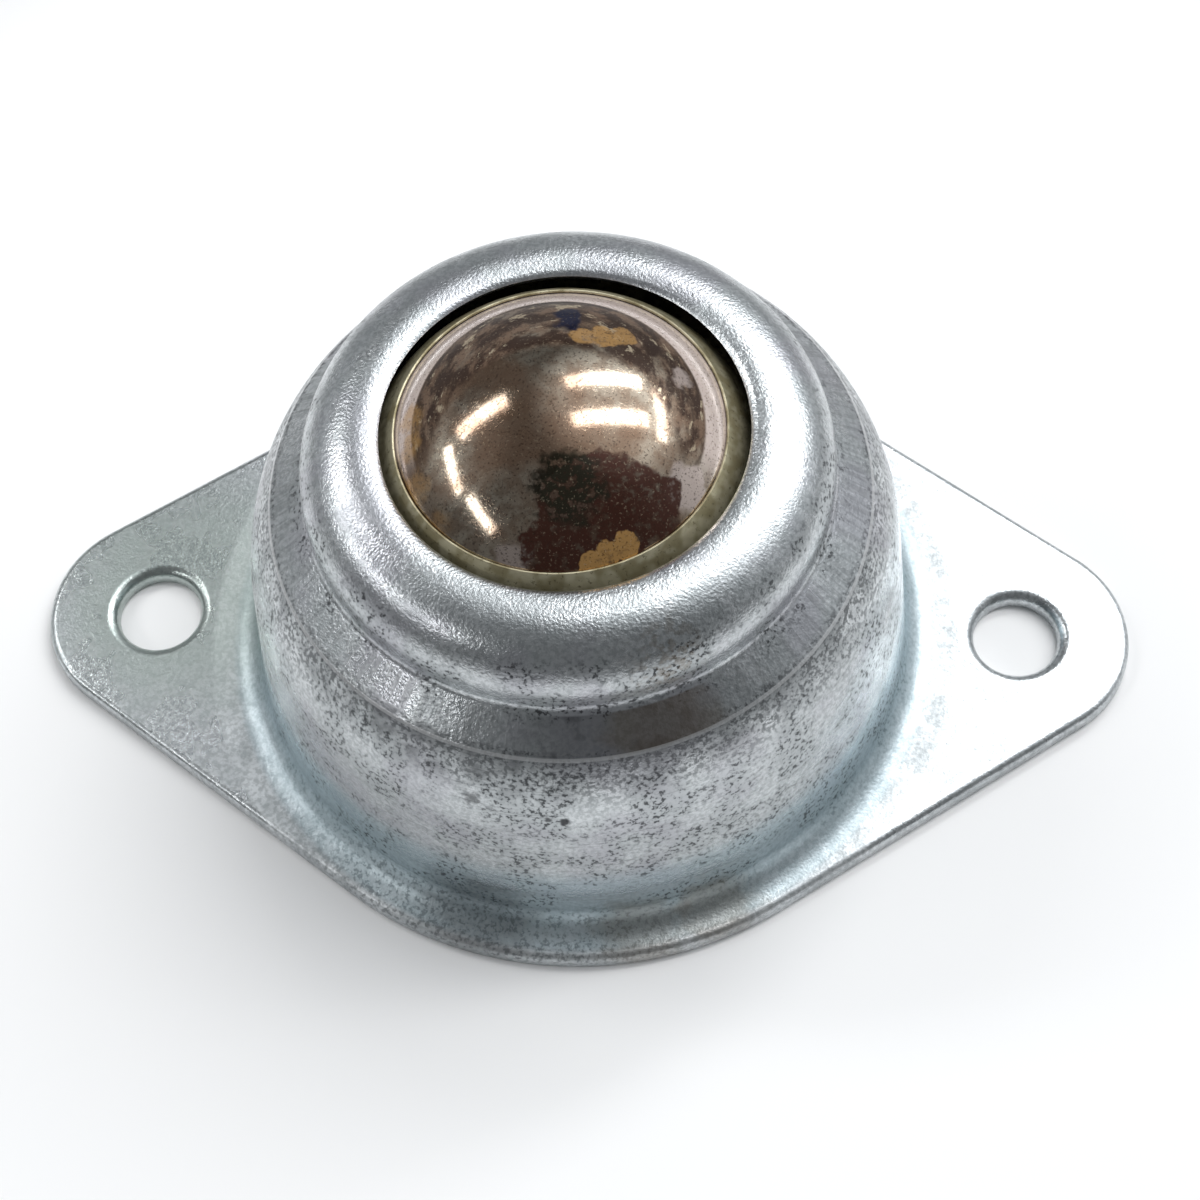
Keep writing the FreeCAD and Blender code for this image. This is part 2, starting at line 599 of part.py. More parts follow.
def make_ball_row(doc, fits, row):
    """One ring of small balls: a ball turned from half a disc, and a pattern about the axis."""
    radius = fits.support_radius
    tilt = math.radians(row * fits.row_pitch)
    reach, drop = fits.orbit * math.sin(tilt), fits.orbit * math.cos(tilt)
    reach_formula = f"fits.orbit * sin({row} * fits.row_pitch * 1 deg)"

    body = make_body(doc, f"support_balls_row_{row}")
    half = Profile(body, f"half_disc_{row}")
    edge = half.arc((reach, -drop, 0), radius, -90, 90)
    axle = half.line((reach, radius - drop, 0), (reach, -radius - drop, 0))
    half.meet((edge, END, axle, START), (axle, END, edge, START))
    half.tie("PointOnObject", edge, CENTRE, axle)
    half.tie("Vertical", axle)
    half.radius("fits.support_radius", radius, edge)
    half.across(reach_formula, reach, edge, CENTRE)
    half.up(f"-fits.orbit * cos({row} * fits.row_pitch * 1 deg)", -drop, edge, CENTRE)
    ball = body.newObject("PartDesign::Revolution", f"ball_{row}")
    ball.Profile = half.sketch
    ball.ReferenceAxis = (half.sketch, [f"Edge{axle + 1}"])
    ball.Angle = 360.0
    doc.recompute()

    body.AllowCompound = True
    ring = body.newObject("PartDesign::PolarPattern", f"ring_{row}")
    ring.Originals = [ball]
    ring.Axis = (half.sketch, ["V_Axis"])
    ring.Angle = 360.0
    share = f"asin((fits.support_radius + sizes.row_gap / 2) / ({reach_formula}))"
    ring.setExpression("Occurrences", f"floor(180 deg / {share})")
    body.Tip = ring
    sit_on_ball(body)
    doc.recompute()
    return body


def check(doc, nodes):
    """Stops when an object failed to recompute or a node isn't a sound solid."""
    for thing in doc.Objects:
        if "Invalid" in thing.State or "Error" in thing.State:
            raise RuntimeError(f"{thing.Label} did not recompute")
    for node in nodes:
        if node.Shape.isNull() or not node.Shape.isValid() or not node.Shape.Solids:
            raise RuntimeError(f"{node.Label} is not a sound solid")


def main():
    doc = FreeCAD.newDocument("ball_castor")
    make_sheet(doc)
    fits = make_fits(doc)
    nodes = [
        make_housing(doc, fits),
        make_retainer(doc, fits),
        make_race(doc, fits),
        make_closing_ring(doc, fits),
        make_main_ball(doc),
        make_bottom_ball(doc),
    ]
    for row in range(1, ROWS + 1):
        nodes.append(make_ball_row(doc, fits, row))
    doc.recompute()
    check(doc, nodes)

    os.makedirs("parts", exist_ok=True)
    for node in nodes:
        node.Shape.exportStep(f"parts/{node.Label}.step")
        print(node.Label, len(node.Shape.Solids), round(node.Shape.Volume, 2))


main()
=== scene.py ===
"""A flange mounted ball castor, dressed and lit on a pale floor.

The pressed housing, the retainer and the large ball are modelled here at full smoothness in
millimetres and then brought to metres. The cup, the closing ring and the small balls keep their
own solids and get better finishes.
"""

import logging
import math
from collections.abc import Callable, Iterable
from dataclasses import dataclass
from enum import Enum
from functools import partial

import bmesh
import bpy
from mathutils import Matrix, Vector


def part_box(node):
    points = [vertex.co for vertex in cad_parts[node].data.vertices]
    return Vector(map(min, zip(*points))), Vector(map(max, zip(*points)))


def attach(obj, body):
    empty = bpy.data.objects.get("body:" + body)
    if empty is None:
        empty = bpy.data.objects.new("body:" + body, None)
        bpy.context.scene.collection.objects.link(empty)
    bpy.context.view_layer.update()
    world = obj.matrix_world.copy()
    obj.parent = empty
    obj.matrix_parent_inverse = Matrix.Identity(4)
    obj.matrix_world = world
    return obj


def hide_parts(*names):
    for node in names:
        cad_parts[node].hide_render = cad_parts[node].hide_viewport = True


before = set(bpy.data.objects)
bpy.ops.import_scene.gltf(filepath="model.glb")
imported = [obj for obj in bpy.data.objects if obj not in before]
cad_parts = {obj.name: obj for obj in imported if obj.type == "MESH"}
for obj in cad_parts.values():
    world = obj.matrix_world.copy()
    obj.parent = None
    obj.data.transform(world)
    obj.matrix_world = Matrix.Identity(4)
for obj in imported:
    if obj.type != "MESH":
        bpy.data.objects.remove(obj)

REPORT = logging.getLogger("ball_castor")

MM = 0.001  # metres in a millimetre
SAME = 0.001  # millimetres between two points that are one
SMOOTH = {"interpolation_type": "SMOOTHSTEP"}

Point = tuple[float, float]
Place = tuple[float, float, float]
Band = tuple[float, float, float]  # begins, ends, fades over
Ring = tuple[Band, Band]  # of height, of radius
Socket = bpy.types.NodeSocket
Source = Socket | float | tuple | str


class Slot(Enum):
    """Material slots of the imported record."""

    ZINC = "zinc_plated_steel"
    BALL = "polished_ball_steel"
    RETAINER = "retainer_steel"


class Body(Enum):
    """Rigid bodies that carry the pieces modelled here."""

    HOUSING = "housing"
    BALL = "main_ball"


@dataclass(frozen=True)
class Grain:
    """A random pattern of patches."""

    size: float  # how far apart they lie, in millimetres
    start: float  # level of the noise at which a patch begins, or its end if larger than full
    full: float  # level of the noise at which a patch is complete
    fine: float = 2.0  # how many finer layers break it up


@dataclass(frozen=True)
class Spot:
    """A patch with a ragged edge at one place on a piece, in millimetres."""

    centre: Place
    radius: float
    ragged: float  # how far the edge wanders
    grain: float  # size of the wandering
    soft: float = 0.15  # how softly it ends
    share: float = 1.0  # how much of it covers
    broken: Grain | None = None  # patches that are all that is left of it


def colour(code: str) -> tuple[float, float, float, float]:
    """Turns an sRGB hex code into the linear colour that a shader takes.

    Args:
        code: six hex digits, with or without a leading hash.

    Returns:
        Linear red, green and blue, and full alpha.
    """
    digits = code.lstrip("#")
    parts = [int(digits[at:at + 2], 16) / 255 for at in (0, 2, 4)]
    linear = [p / 12.92 if p <= 0.04045 else ((p + 0.055) / 1.055) ** 2.4 for p in parts]
    return (*linear, 1.0)


def add_node(
    tree: bpy.types.NodeTree,
    kind: str,
    sources: dict[str | int, Source] | tuple[Source, ...] = (),
    out: str | int = 0,
    **settings: str | bool,
) -> Socket | None:
    """Adds one shader node with its settings and links.

    Args:
        tree: the node tree that takes it.
        kind: the node's type without its common prefix, such as TexNoise.
        sources: what feeds its inputs, in order or by name or number: a socket, a number, a
            vector or a hex colour.
        out: name or number of the output wanted.
        settings: attributes of the node itself.

    Returns:
        That output, or none where the node has no outputs.
    """
    node = tree.nodes.new(f"ShaderNode{kind}")
    for name, value in settings.items():
        setattr(node, name, value)
    pairs = sources.items() if isinstance(sources, dict) else enumerate(sources)
    for name, source in pairs:
        if isinstance(source, bpy.types.NodeSocket):
            tree.links.new(source, node.inputs[name])
        else:
            value = colour(source) if isinstance(source, str) else source
            node.inputs[name].default_value = value
    return node.outputs[out] if node.outputs else None


class Paint:
    """A material in the making, with the patterns that several finishes share.

    Patterns are worked out in millimetres on the piece's own coordinates, so they stay on the
    metal when the piece moves.
    """

    layer_share = 0.62  # how strong each finer layer of a pattern is beside the one before

    def __init__(self, name: str) -> None:
        """Starts an empty material.

        Args:
            name: the material's name.
        """
        self.material = bpy.data.materials.new(name)
        self.material.use_nodes = True
        self.tree = self.material.node_tree
        self.tree.nodes.clear()
        self.made: dict[tuple, Socket | None] = {}
        place = self.add("TexCoord", out="Object")
        self.mm = self.add("VectorMath", {0: place, "Scale": 1 / MM}, operation="SCALE")
        parts = self.add("SeparateXYZ", (self.mm,)).node.outputs
        self.height = parts["Z"]
        self.flat = self.add("CombineXYZ", {"X": parts["X"], "Y": parts["Y"]})
        self.radius = self.add("VectorMath", (self.flat,), "Value", operation="LENGTH")

    def add(
        self,
        kind: str,
        sources: dict[str | int, Source] | tuple[Source, ...] = (),
        out: str | int = 0,
        **settings: str | bool,
    ) -> Socket | None:
        """Adds a node to the material, or gives the one that was made alike before.

        Args:
            kind: the node's type without its common prefix.
            sources: what feeds its inputs.
            out: the output wanted.
            settings: attributes of the node itself.

        Returns:
            That output.
        """
        pairs = tuple(sources.items() if isinstance(sources, dict) else enumerate(sources))
        key = (kind, pairs, out, tuple(settings.items()))
        if key not in self.made:
            self.made[key] = add_node(self.tree, kind, dict(pairs), out, **settings)
        return self.made[key]

    def patches(self, grain: Grain, at: Socket | None = None) -> Socket:
        """Random patches.

        Args:
            grain: what they are like.
            at: the point to read, or none for the piece's own.

        Returns:
            1 in the patches and 0 between them.
        """
        noise = self.add("TexNoise", {
            "Vector": self.mm if at is None else at,
            "Scale": 1 / grain.size,
            "Detail": grain.fine,
            "Roughness": self.layer_share,
        })
        return self.add("MapRange", (noise, grain.start, grain.full), **SMOOTH)

    def band(self, value: Socket, low: float, high: float, soft: float) -> Socket:
        """A band of a value.

        Args:
            value: what it is a band of, such as the height.
            low: where the full band begins.
            high: where it ends.
            soft: over how much it fades on either side.

        Returns:
            1 in the band and 0 away from it.
        """
        over = self.add("MapRange", (value, low - soft, low), **SMOOTH)
        under = self.add("MapRange", (value, high + soft, high), **SMOOTH)
        return self.add("Math", (over, under), operation="MULTIPLY")

    def ring(self, height: Band, radius: Band) -> Socket:
        """A ring round the piece's axis, 1 in the bands of height and radius and 0 outside."""
        rise, reach = self.band(self.height, *height), self.band(self.radius, *radius)
        return self.overlap(1.0, rise, reach)

    def spot(self, mark: Spot) -> Socket:
        """A patch with a ragged edge at one place on the piece.

        Args:
            mark: what it is like.

        Returns:
            Its share inside and 0 outside.
        """
        away = self.add("VectorMath", (self.mm, mark.centre), "Value", operation="DISTANCE")
        noise = self.add("TexNoise", {"Vector": self.mm, "Scale": 1 / mark.grain, "Detail": 2.0})
        shift = self.add("Math", (noise, 4 * mark.ragged, away), operation="MULTIPLY_ADD")
        reach = mark.radius + 2 * mark.ragged
        whole = self.add("MapRange", (shift, reach + mark.soft, reach - mark.soft), **SMOOTH)
        left = [self.patches(mark.broken)] if mark.broken else []
        return self.overlap(mark.share, whole, *left)

    def overlap(self, share: float, *masks: Socket) -> Socket:
        """What is left of a share where masks overlap.

        Args:
            share: the most that it can be.
            masks: each from 0 to 1.

        Returns:
            Their product.
        """
        result: Source = share
        for mask in masks:
            result = self.add("Math", (mask, result), operation="MULTIPLY")
        return result

    def joined(self, *masks: Socket) -> Socket:
        """One mask that covers all that the given masks cover.

        Args:
            masks: each from 0 to 1.

        Returns:
            The largest of them at each point.
        """
        result = masks[0]
        for mask in masks[1:]:
            result = self.add("Math", (result, mask), operation="MAXIMUM")
        return result

    def coats(self, base: Source, *coats: tuple[Source, Socket]) -> Source:
        """Lays colours over one another.

        Args:
            base: the lowest colour.
            coats: each a colour and the mask that it is seen through.

        Returns:
            The colour of them all.
        """
        for tone, mask in coats:
            base = self.add("Mix", {0: mask, 6: base, 7: tone}, 2, data_type="RGBA")
        return base

    def finish(self, sources: dict[str | int, Source]) -> bpy.types.Material:
        """Ends the material in a principled surface.

        Args:
            sources: inputs of the surface.

        Returns:
            The finished material.
        """
        surface = self.add("BsdfPrincipled", sources)
        self.add("OutputMaterial", {"Surface": surface})
        return self.material


@dataclass(frozen=True)
class ZincPlate:
    """Bright zinc plate over pressed mild steel, with a clear blue passivation.

    The plating grows as fine crystals over the pressed sheet's grain, so the metal is satin and
    glints in grains. The blue film shows on the lower wall. Use has left sooty pores, brush marks
    on the ledge, fine scratches round the wall and a little rust at the mouth. A darker band under
    the step and dark patches on the near side of the step and the ledge are painted shade together
    with sooty grime, and a near-white line along the step's edge is a painted highlight.
    """

    pale: str = "#D2D6D8"
    deep: str = "#8B9193"
    violet: str = "#B1AFB8"
    blue: str = "#A6C0C9"
    green: str = "#A3AFA8"
    # Sooty black, also the colour of the painted shade under the step and on the near side of the
    # ledge.
    soot_and_shade_colour: str = "#28282B"
    brown: str = "#6B5636"
    rust: str = "#8C4420"
    # Near-white of the painted highlight along the step's edge.
    worn: str = "#F4F5F6"

    crystal: float = 0.17  # millimetres, coarser than real ones so that they show
    crystal_share: Point = (0.25, 0.5)  # more of them on the lip
    grain_depth: float = 0.042  # millimetres
    peel: float = 1.6  # waves in a millimetre of the sheet's orange peel
    peel_share: float = 0.12
    brush_share: float = 0.1
    roughness: float = 0.25
    rougher: Place = (0.07, 0.2, 0.18)  # what clouds, sooty grime with painted shade and the drawn foot add to it

    # Bands of height and rings, in millimetres.
    lip: Band = (21.0, 30.0, 1.5)
    tinted: Band = (6.0, 30.0, 3.0)
    # Band of painted shade, with sooty grime, just under the step.
    shade_under_step: Band = (17.9, 18.7, 3.0)
    flange_top: Band = (0.9, 2.4, 0.6)
    neck: Ring = ((20.4, 24.0, 0.8), (14.0, 18.0, 1.0))
    ledge: Ring = ((18.78, 20.6, 0.12), (16.6, 18.5, 0.12))
    # Ring of the painted highlight along the step's edge.
    step_edge_highlight: Ring = ((18.64, 18.8, 0.04), (18.48, 18.62, 0.04))
    dome: Ring = ((4.0, 18.6, 3.0), (18.3, 23.0, 0.3))
    blue_wall: Ring = ((2.2, 6.0, 2.6), (20.3, 23.2, 0.6))
    foot: Ring = ((0.8, 3.6, 1.6), (20.8, 24.5, 0.8))

    cloud = Grain(3.0, 0.36, 0.64)
    speckle = Grain(0.3, 0.36, 0.64)
    tint = Grain(7.0, 0.45, 0.62)
    scratch = Grain(1.0, 0.6, 0.68)
    scratch_way: Place = (0.12, 0.12, 7.0)  # long round the axis
    brush = Grain(0.35, 0.3, 0.7)
    wall_reach: float = 18.0  # about the wall's radius
    streak_rise: Place = (0.0, 0.0, 0.1)  # how fast a streak changes upwards

    soot_cloud = Grain(3.0, 0.42, 0.6)
    pores = Grain(0.3, 0.52, 0.64)
    step_pores = Grain(0.3, 0.42, 0.6)
    foot_pores = Grain(0.3, 0.5, 0.64)
    # Clouds of sooty grime and painted shade under the step and on the ledge.
    soot_and_shade_clouds = Grain(1.8, 0.36, 0.66)
    ledge_smears = Grain(0.35, 0.46, 0.6)
    # Sooty grime together with painted shade: the next two darken the near side under the step and
    # of the ledge.
    front_soot_and_shade = Spot((-6.0, -18.0, 17.8), 9.0, 1.5, 4.0, 5.0)
    ledge_soot_and_shade = Spot((4.0, -16.8, 19.5), 5.5, 1.0, 1.5, 2.5)
    foot_soot = Spot((-5.0, -21.0, 1.5), 11.0, 1.0, 4.0, 4.0)

    green_ear = Spot((-27.5, 1.5, 1.3), 8.0, 1.0, 4.0, 4.0, 0.6)
    ledge_mark = Spot((6.6, -16.4, 19.5), 3.2, 0.8, 1.5, 1.2, 0.4)
    marks = (
        (brown, Spot((6.8, -14.2, 23.5), 2.0, 0.8, 1.5, 1.2, 0.4, Grain(0.5, 0.45, 0.6))),
        (brown, Spot((9.7, -20.1, 1.7), 2.4, 0.8, 1.5, 1.2, 0.4)),
        (brown, Spot((5.0, -22.1, 1.5), 2.6, 0.8, 1.5, 1.2, 0.35)),
        (soot_and_shade_colour, Spot((-5.3, -21.2, 2.1), 3.4, 1.0, 1.5, 1.6, 0.45)),
        (soot_and_shade_colour, Spot((0.71, -20.39, 14.22), 0.3, 0.1, 0.4, 0.12, 0.9)),
        (soot_and_shade_colour, Spot((-0.27, -20.35, 14.4), 0.2, 0.1, 0.4, 0.1, 0.8)),
        (soot_and_shade_colour, Spot((-4.8, -19.5, 15.3), 0.5, 0.4, 0.4, 0.3, 0.6)),
        (rust, Spot((-5.6, -9.4, 24.6), 0.5, 0.3, 0.4, 0.1, 0.9, Grain(0.3, 0.45, 0.55))),
        (rust, Spot((-10.9, -3.4, 24.5), 0.7, 0.4, 0.4, 0.1, 0.8, Grain(0.3, 0.48, 0.56))),
    )

    def build(self) -> bpy.types.Material:
        """Makes the material.

        Returns:
            The finished material.
        """
        paint = Paint("blue_zinc_plate_on_pressed_steel")
        ledge, dome = paint.ring(*self.ledge), paint.ring(*self.dome)
        upright = self.upright(paint)
        cloud = paint.patches(self.cloud)
        tone = paint.coats(
            self.pale,
            (self.deep, paint.overlap(0.4, cloud)),
            (self.deep, paint.overlap(0.5, paint.patches(self.speckle))),
            (self.violet, paint.overlap(
                0.4, paint.patches(self.tint), paint.band(paint.height, *self.tinted)
            )),
            (self.blue, paint.overlap(0.45, paint.ring(*self.blue_wall))),
            (self.green, paint.spot(self.green_ear)),
        )
        soot_and_painted_shade = self.soot_and_painted_shade(paint, ledge, dome, upright)
        around = paint.add("VectorMath", (paint.mm, self.scratch_way), operation="MULTIPLY")
        tone = paint.coats(
            tone,
            # Sooty grime together with painted shade.
            (self.soot_and_shade_colour, soot_and_painted_shade),
            (self.soot_and_shade_colour, paint.overlap(0.22, paint.patches(self.scratch, around), dome)),
            (self.brown, paint.overlap(1.0, ledge, paint.spot(self.ledge_mark))),
            *((spot, paint.spot(mark)) for spot, mark in self.marks),
            # Painted highlight: a near-white line along the step's edge.
            (self.worn, paint.overlap(0.5, paint.ring(*self.step_edge_highlight))),
        )

        roughness = self.roughness
        for mask, extra in zip((cloud, soot_and_painted_shade, paint.ring(*self.foot)), self.rougher):
            roughness = paint.add("Math", (mask, extra, roughness), operation="MULTIPLY_ADD")

        crystals = paint.add(
            "TexNoise", {"Vector": paint.mm, "Scale": 1 / self.crystal, "Detail": 2.0}
        )
        peel = paint.add("TexNoise", {"Vector": paint.mm, "Scale": self.peel, "Detail": 1.0})
        lip = paint.band(paint.height, *self.lip)
        share = paint.add("Math", (lip, *self.crystal_share), operation="MULTIPLY_ADD")
        relief = paint.add("Math", (crystals, share), operation="MULTIPLY")
        relief = paint.add("Math", (peel, self.peel_share, relief), operation="MULTIPLY_ADD")
        brushed = paint.overlap(self.brush_share, paint.patches(self.brush, upright), ledge)
        relief = paint.add("Math", (brushed, relief), operation="ADD")
        normal = paint.add("Bump", {"Height": relief, "Distance": self.grain_depth * MM})
        return paint.finish(
            {"Metallic": 1.0, "Base Color": tone, "Roughness": roughness, "Normal": normal}
        )

    def upright(self, paint: Paint) -> Socket:
        """Coordinates in which a pattern runs up the drawn wall in streaks.

        Args:
            paint: the material.

        Returns:
            The point to read a pattern at.
        """
        way = paint.add("VectorMath", (paint.flat,), operation="NORMALIZE")
        wide = paint.add("VectorMath", {0: way, "Scale": self.wall_reach}, operation="SCALE")
        low = paint.add("VectorMath", (paint.mm, self.streak_rise), operation="MULTIPLY")
        return paint.add("VectorMath", (wide, low), operation="ADD")

    def soot_and_painted_shade(self, paint: Paint, ledge: Socket, dome: Socket, upright: Socket) -> Socket:
        """Soot in the pores of the plating, and painted shade together with sooty grime under the
        step and on the near side of the ledge.

        Args:
            paint: the material.
            ledge: mask of the ledge.
            dome: mask of the wall under the step.
            upright: coordinates for streaks up the wall.

        Returns:
            How much of it lies where.
        """
        clouds, pores = paint.patches(self.soot_cloud), paint.patches(self.pores)
        under = paint.band(paint.height, *self.shade_under_step)
        soot_and_shade_clouds, ledge_soot_and_shade_patch = paint.patches(self.soot_and_shade_clouds), paint.spot(self.ledge_soot_and_shade)
        low = paint.band(paint.height, *self.flange_top)
        return paint.joined(
            paint.overlap(0.8, pores, clouds, paint.ring(*self.neck)),
            paint.overlap(0.75, pores, clouds, dome),
            # Painted shade together with sooty grime: a darker band under the step, darker still
            # on the near side.
            paint.overlap(0.3, under, dome, soot_and_shade_clouds),
            paint.overlap(0.55, paint.patches(self.step_pores), under, dome),
            paint.overlap(0.5, paint.spot(self.front_soot_and_shade), under, dome, soot_and_shade_clouds),
            # Painted shade together with sooty grime on the near side of the ledge.
            paint.overlap(0.42, ledge, ledge_soot_and_shade_patch),
            paint.overlap(0.65, ledge, ledge_soot_and_shade_patch, soot_and_shade_clouds),
            paint.overlap(0.25, ledge, paint.patches(self.ledge_smears, upright)),
            paint.overlap(0.35, paint.patches(self.foot_pores), paint.spot(self.foot_soot), low),
        )


@dataclass(frozen=True)
class TarnishedBall:
    """Ground and polished bearing steel under a brown film of old oil, worn through in places.

    Bare steel mirrors the lamps and the room. The film is thin and stains the mirror brown, with
    a soft colour of its own, and fine dark specks where it has pitted; the fine bright specks are
    painted glints. A mottled belt round the far side, a pale band under it and coloured patches at
    fixed places are painted reflections of the room and of the lip. Heights and places are those
    of the ball at rest.
    """

    steel: str = "#B2A797"
    film: str = "#7A6250"
    # Colours of the painted reflections of the room; bark also colours the dark pits.
    russet: str = "#44241A"
    moss: str = "#27271C"
    ochre: str = "#C79A5E"
    navy: str = "#0D1232"
    bark: str = "#35231A"
    pale: str = "#D6C6BE"
    # Colour of the painted glints.
    painted_glint: str = "#DCCBAE"

    roughness: float = 0.09
    film_roughness: float = 0.06  # what the film adds to it
    film_metallic: float = 0.55  # the film is part paint
    lip_reflection_metallic: float = -0.35  # added in the painted reflection of the lip
    pit_depth: float = 0.0009  # millimetres

    film_patches = Grain(6.0, 0.36, 0.6)
    mottle = Grain(0.7, 0.4, 0.62)
    dark_pits = Grain(0.15, 0.56, 0.66)  # coarser than real ones
    # Bright specks: painted glints, which the bump also shapes.
    pits_and_painted_glints = Grain(0.165, 0.4, 0.3)
    # Patches of the painted reflection in the belt.
    reflection_dark_grain = Grain(0.9, 0.4, 0.56, 5.0)
    reflection_brown_grain = Grain(1.6, 0.35, 0.55, 4.0)
    reflection_glint_grain = Grain(0.6, 0.6, 0.66, 4.0)
    russet_grain = Grain(0.5, 0.3, 0.5)
    moss_grain = Grain(0.5, 0.34, 0.5)
    ochre_grain = Grain(0.5, 0.16, 0.5)

    streak: Place = (0.45, 0.45, 1.6)  # its patches are long and low
    far_side: Point = (-4.5, -1.5)  # where both begin, along Y
    lean: Point = (-0.09, -0.4)  # added for each millimetre of Y to the belt's foot and crown
    # Heights at which the belt and the pale band, both painted reflections, begin and end.
    reflection_belt_foot: Point = (26.6, 26.75)
    reflection_belt_crown: Point = (28.7, 28.2)
    lip_reflection_top: Point = (26.75, 26.55)
    lip_reflection_end: Point = (23.7, 24.4)

    # Painted reflections of the room, at their places on the ball at rest.
    russet_reflections = (
        Spot((2.6, -6.9, 27.5), 3.5, 0.5, 1.2),
        Spot((5.2, -6.0, 26.9), 2.2, 0.5, 1.2),
        Spot((0.2, -8.9, 26.2), 2.2, 0.6, 1.2),
    )
    moss_reflection = Spot((0.8, -6.0, 28.5), 2.1, 0.6, 0.9, 0.4)
    navy_reflections = (
        Spot((0.0, 6.1, 28.4), 0.75, 0.3, 0.9, 0.2),
        Spot((0.1, 5.1, 28.9), 0.75, 0.3, 0.9, 0.2),
    )
    ochre_reflections = (
        Spot((4.0, -8.3, 25.95), 0.85, 0.2, 0.9, 0.05),
        Spot((3.1, -8.75, 25.85), 0.85, 0.2, 0.9, 0.05),
        Spot((2.2, -9.3, 25.6), 0.8, 0.2, 0.9, 0.05),
        Spot((1.1, 3.9, 29.25), 0.85, 0.25, 0.9, 0.1, 0.8),
        Spot((2.2, 4.05, 29.05), 0.95, 0.25, 0.9, 0.1, 0.8),
        Spot((3.3, 4.4, 28.65), 0.8, 0.3, 0.9, 0.1, 0.75),
        Spot((-8.9, -0.4, 26.5), 0.9, 0.4, 0.9, 0.4, 0.6),
        Spot((-8.9, -2.2, 26.3), 0.8, 0.4, 0.9, 0.4, 0.6),
        Spot((-8.3, -4.8, 25.9), 0.9, 0.4, 0.9, 0.4, 0.5),
        Spot((-6.9, -6.9, 25.6), 0.8, 0.4, 0.9, 0.4, 0.4),
    )
    pale_reflections = (
        Spot((7.5, -4.5, 26.3), 1.5, 0.4, 1.2, 0.2, 0.8),
        Spot((6.9, 2.3, 27.6), 0.7, 0.3, 0.9, 0.2, 0.6),
        Spot((-2.3, -9.2, 25.7), 1.0, 0.3, 1.2, 0.2, 0.7),
    )
    dark_reflection = Spot((5.0, 4.1, 28.1), 0.5, 0.4, 0.9, 0.2, 0.8)

    def build(self) -> bpy.types.Material:
        """Makes the material.

        Returns:
            The finished material.
        """
        paint = Paint("browned_polished_ball_steel")
        film = paint.patches(self.film_patches)
        dark_pits, pits_and_painted_glints = paint.patches(self.dark_pits), paint.patches(self.pits_and_painted_glints)
        # Painted reflections of the room and of the lip on the far side.
        belt, lip_reflection = self.painted_reflection_rings(paint)
        streaky = paint.add("VectorMath", (paint.mm, self.streak), operation="MULTIPLY")
        bark = paint.overlap(0.9, belt, paint.patches(self.reflection_dark_grain, streaky))
        reflection_brown = paint.overlap(0.9, belt, paint.patches(self.reflection_brown_grain, streaky))
        glints = paint.overlap(0.6, belt, paint.patches(self.reflection_glint_grain, streaky))
        # Painted reflections at fixed places.
        russet, navy, ochre = (
            paint.joined(*map(paint.spot, marks))
            for marks in (self.russet_reflections, self.navy_reflections, self.ochre_reflections)
        )
        moss = paint.spot(self.moss_reflection)
        tone = paint.coats(
            self.steel,
            (self.film, paint.overlap(0.9, film)),
            (self.film, paint.overlap(0.5, paint.patches(self.mottle))),
            (self.pale, lip_reflection),
            (self.film, reflection_brown),
            (self.bark, bark),
            # Painted glints in the belt.
            (self.painted_glint, glints),
            *((self.pale, paint.spot(mark)) for mark in self.pale_reflections),
            (self.bark, paint.overlap(0.75, russet)),
            (self.russet, paint.overlap(0.92, russet, paint.patches(self.russet_grain))),
            (self.moss, paint.overlap(0.92, moss, paint.patches(self.moss_grain))),
            (self.bark, paint.spot(self.dark_reflection)),
            (self.ochre, paint.overlap(0.92, ochre, paint.patches(self.ochre_grain))),
            (self.navy, navy),
            (self.bark, paint.overlap(0.6, dark_pits)),
            # Painted glints: bright specks over the ball.
            (self.painted_glint, paint.overlap(0.2, pits_and_painted_glints)),
        )
        thin = paint.overlap(0.35, film)
        # Where the film or a painted reflection lies, the steel is less metallic and rougher.
        film_and_painted_reflections = paint.joined(thin, russet, ochre, bark, reflection_brown, lip_reflection)
        metallic = paint.add("MapRange", (film_and_painted_reflections, 0.0, 1.0, 1.0, self.film_metallic))
        metallic = paint.add(
            "Math", (lip_reflection, self.lip_reflection_metallic, metallic), operation="MULTIPLY_ADD"
        )
        roughness = paint.add(
            "Math", (film_and_painted_reflections, self.film_roughness, self.roughness), operation="MULTIPLY_ADD"
        )
        relief = paint.add("Math", (dark_pits, pits_and_painted_glints), operation="SUBTRACT")
        normal = paint.add("Bump", {"Height": relief, "Distance": self.pit_depth * MM})
        return paint.finish({
            "Metallic": metallic, "Base Color": tone, "Roughness": roughness, "Normal": normal
        })

    def painted_reflection_rings(self, paint: Paint) -> tuple[Socket, Socket]:
        """Painted reflections: the mottled belt round the far side, a little under the top, and
        the pale band below, which is the painted reflection of the lip.

        Args:
            paint: the material.

        Returns:
            The mask of the belt and the mask of the band.
        """
        along = paint.add("SeparateXYZ", (paint.mm,), "Y")
        behind = paint.add("MapRange", (along, *self.far_side), **SMOOTH)
        foot, crown = (
            paint.add("Math", (along, lean, paint.height), operation="MULTIPLY_ADD")
            for lean in self.lean
        )
        smooth = partial(paint.add, "MapRange", **SMOOTH)
        belt = (smooth((foot, *self.reflection_belt_foot)), smooth((crown, *self.reflection_belt_crown)), behind)
        band = (smooth((foot, *self.lip_reflection_top)), smooth((foot, *self.lip_reflection_end)), behind)
        return paint.overlap(1.0, *belt), paint.overlap(0.9, *band)


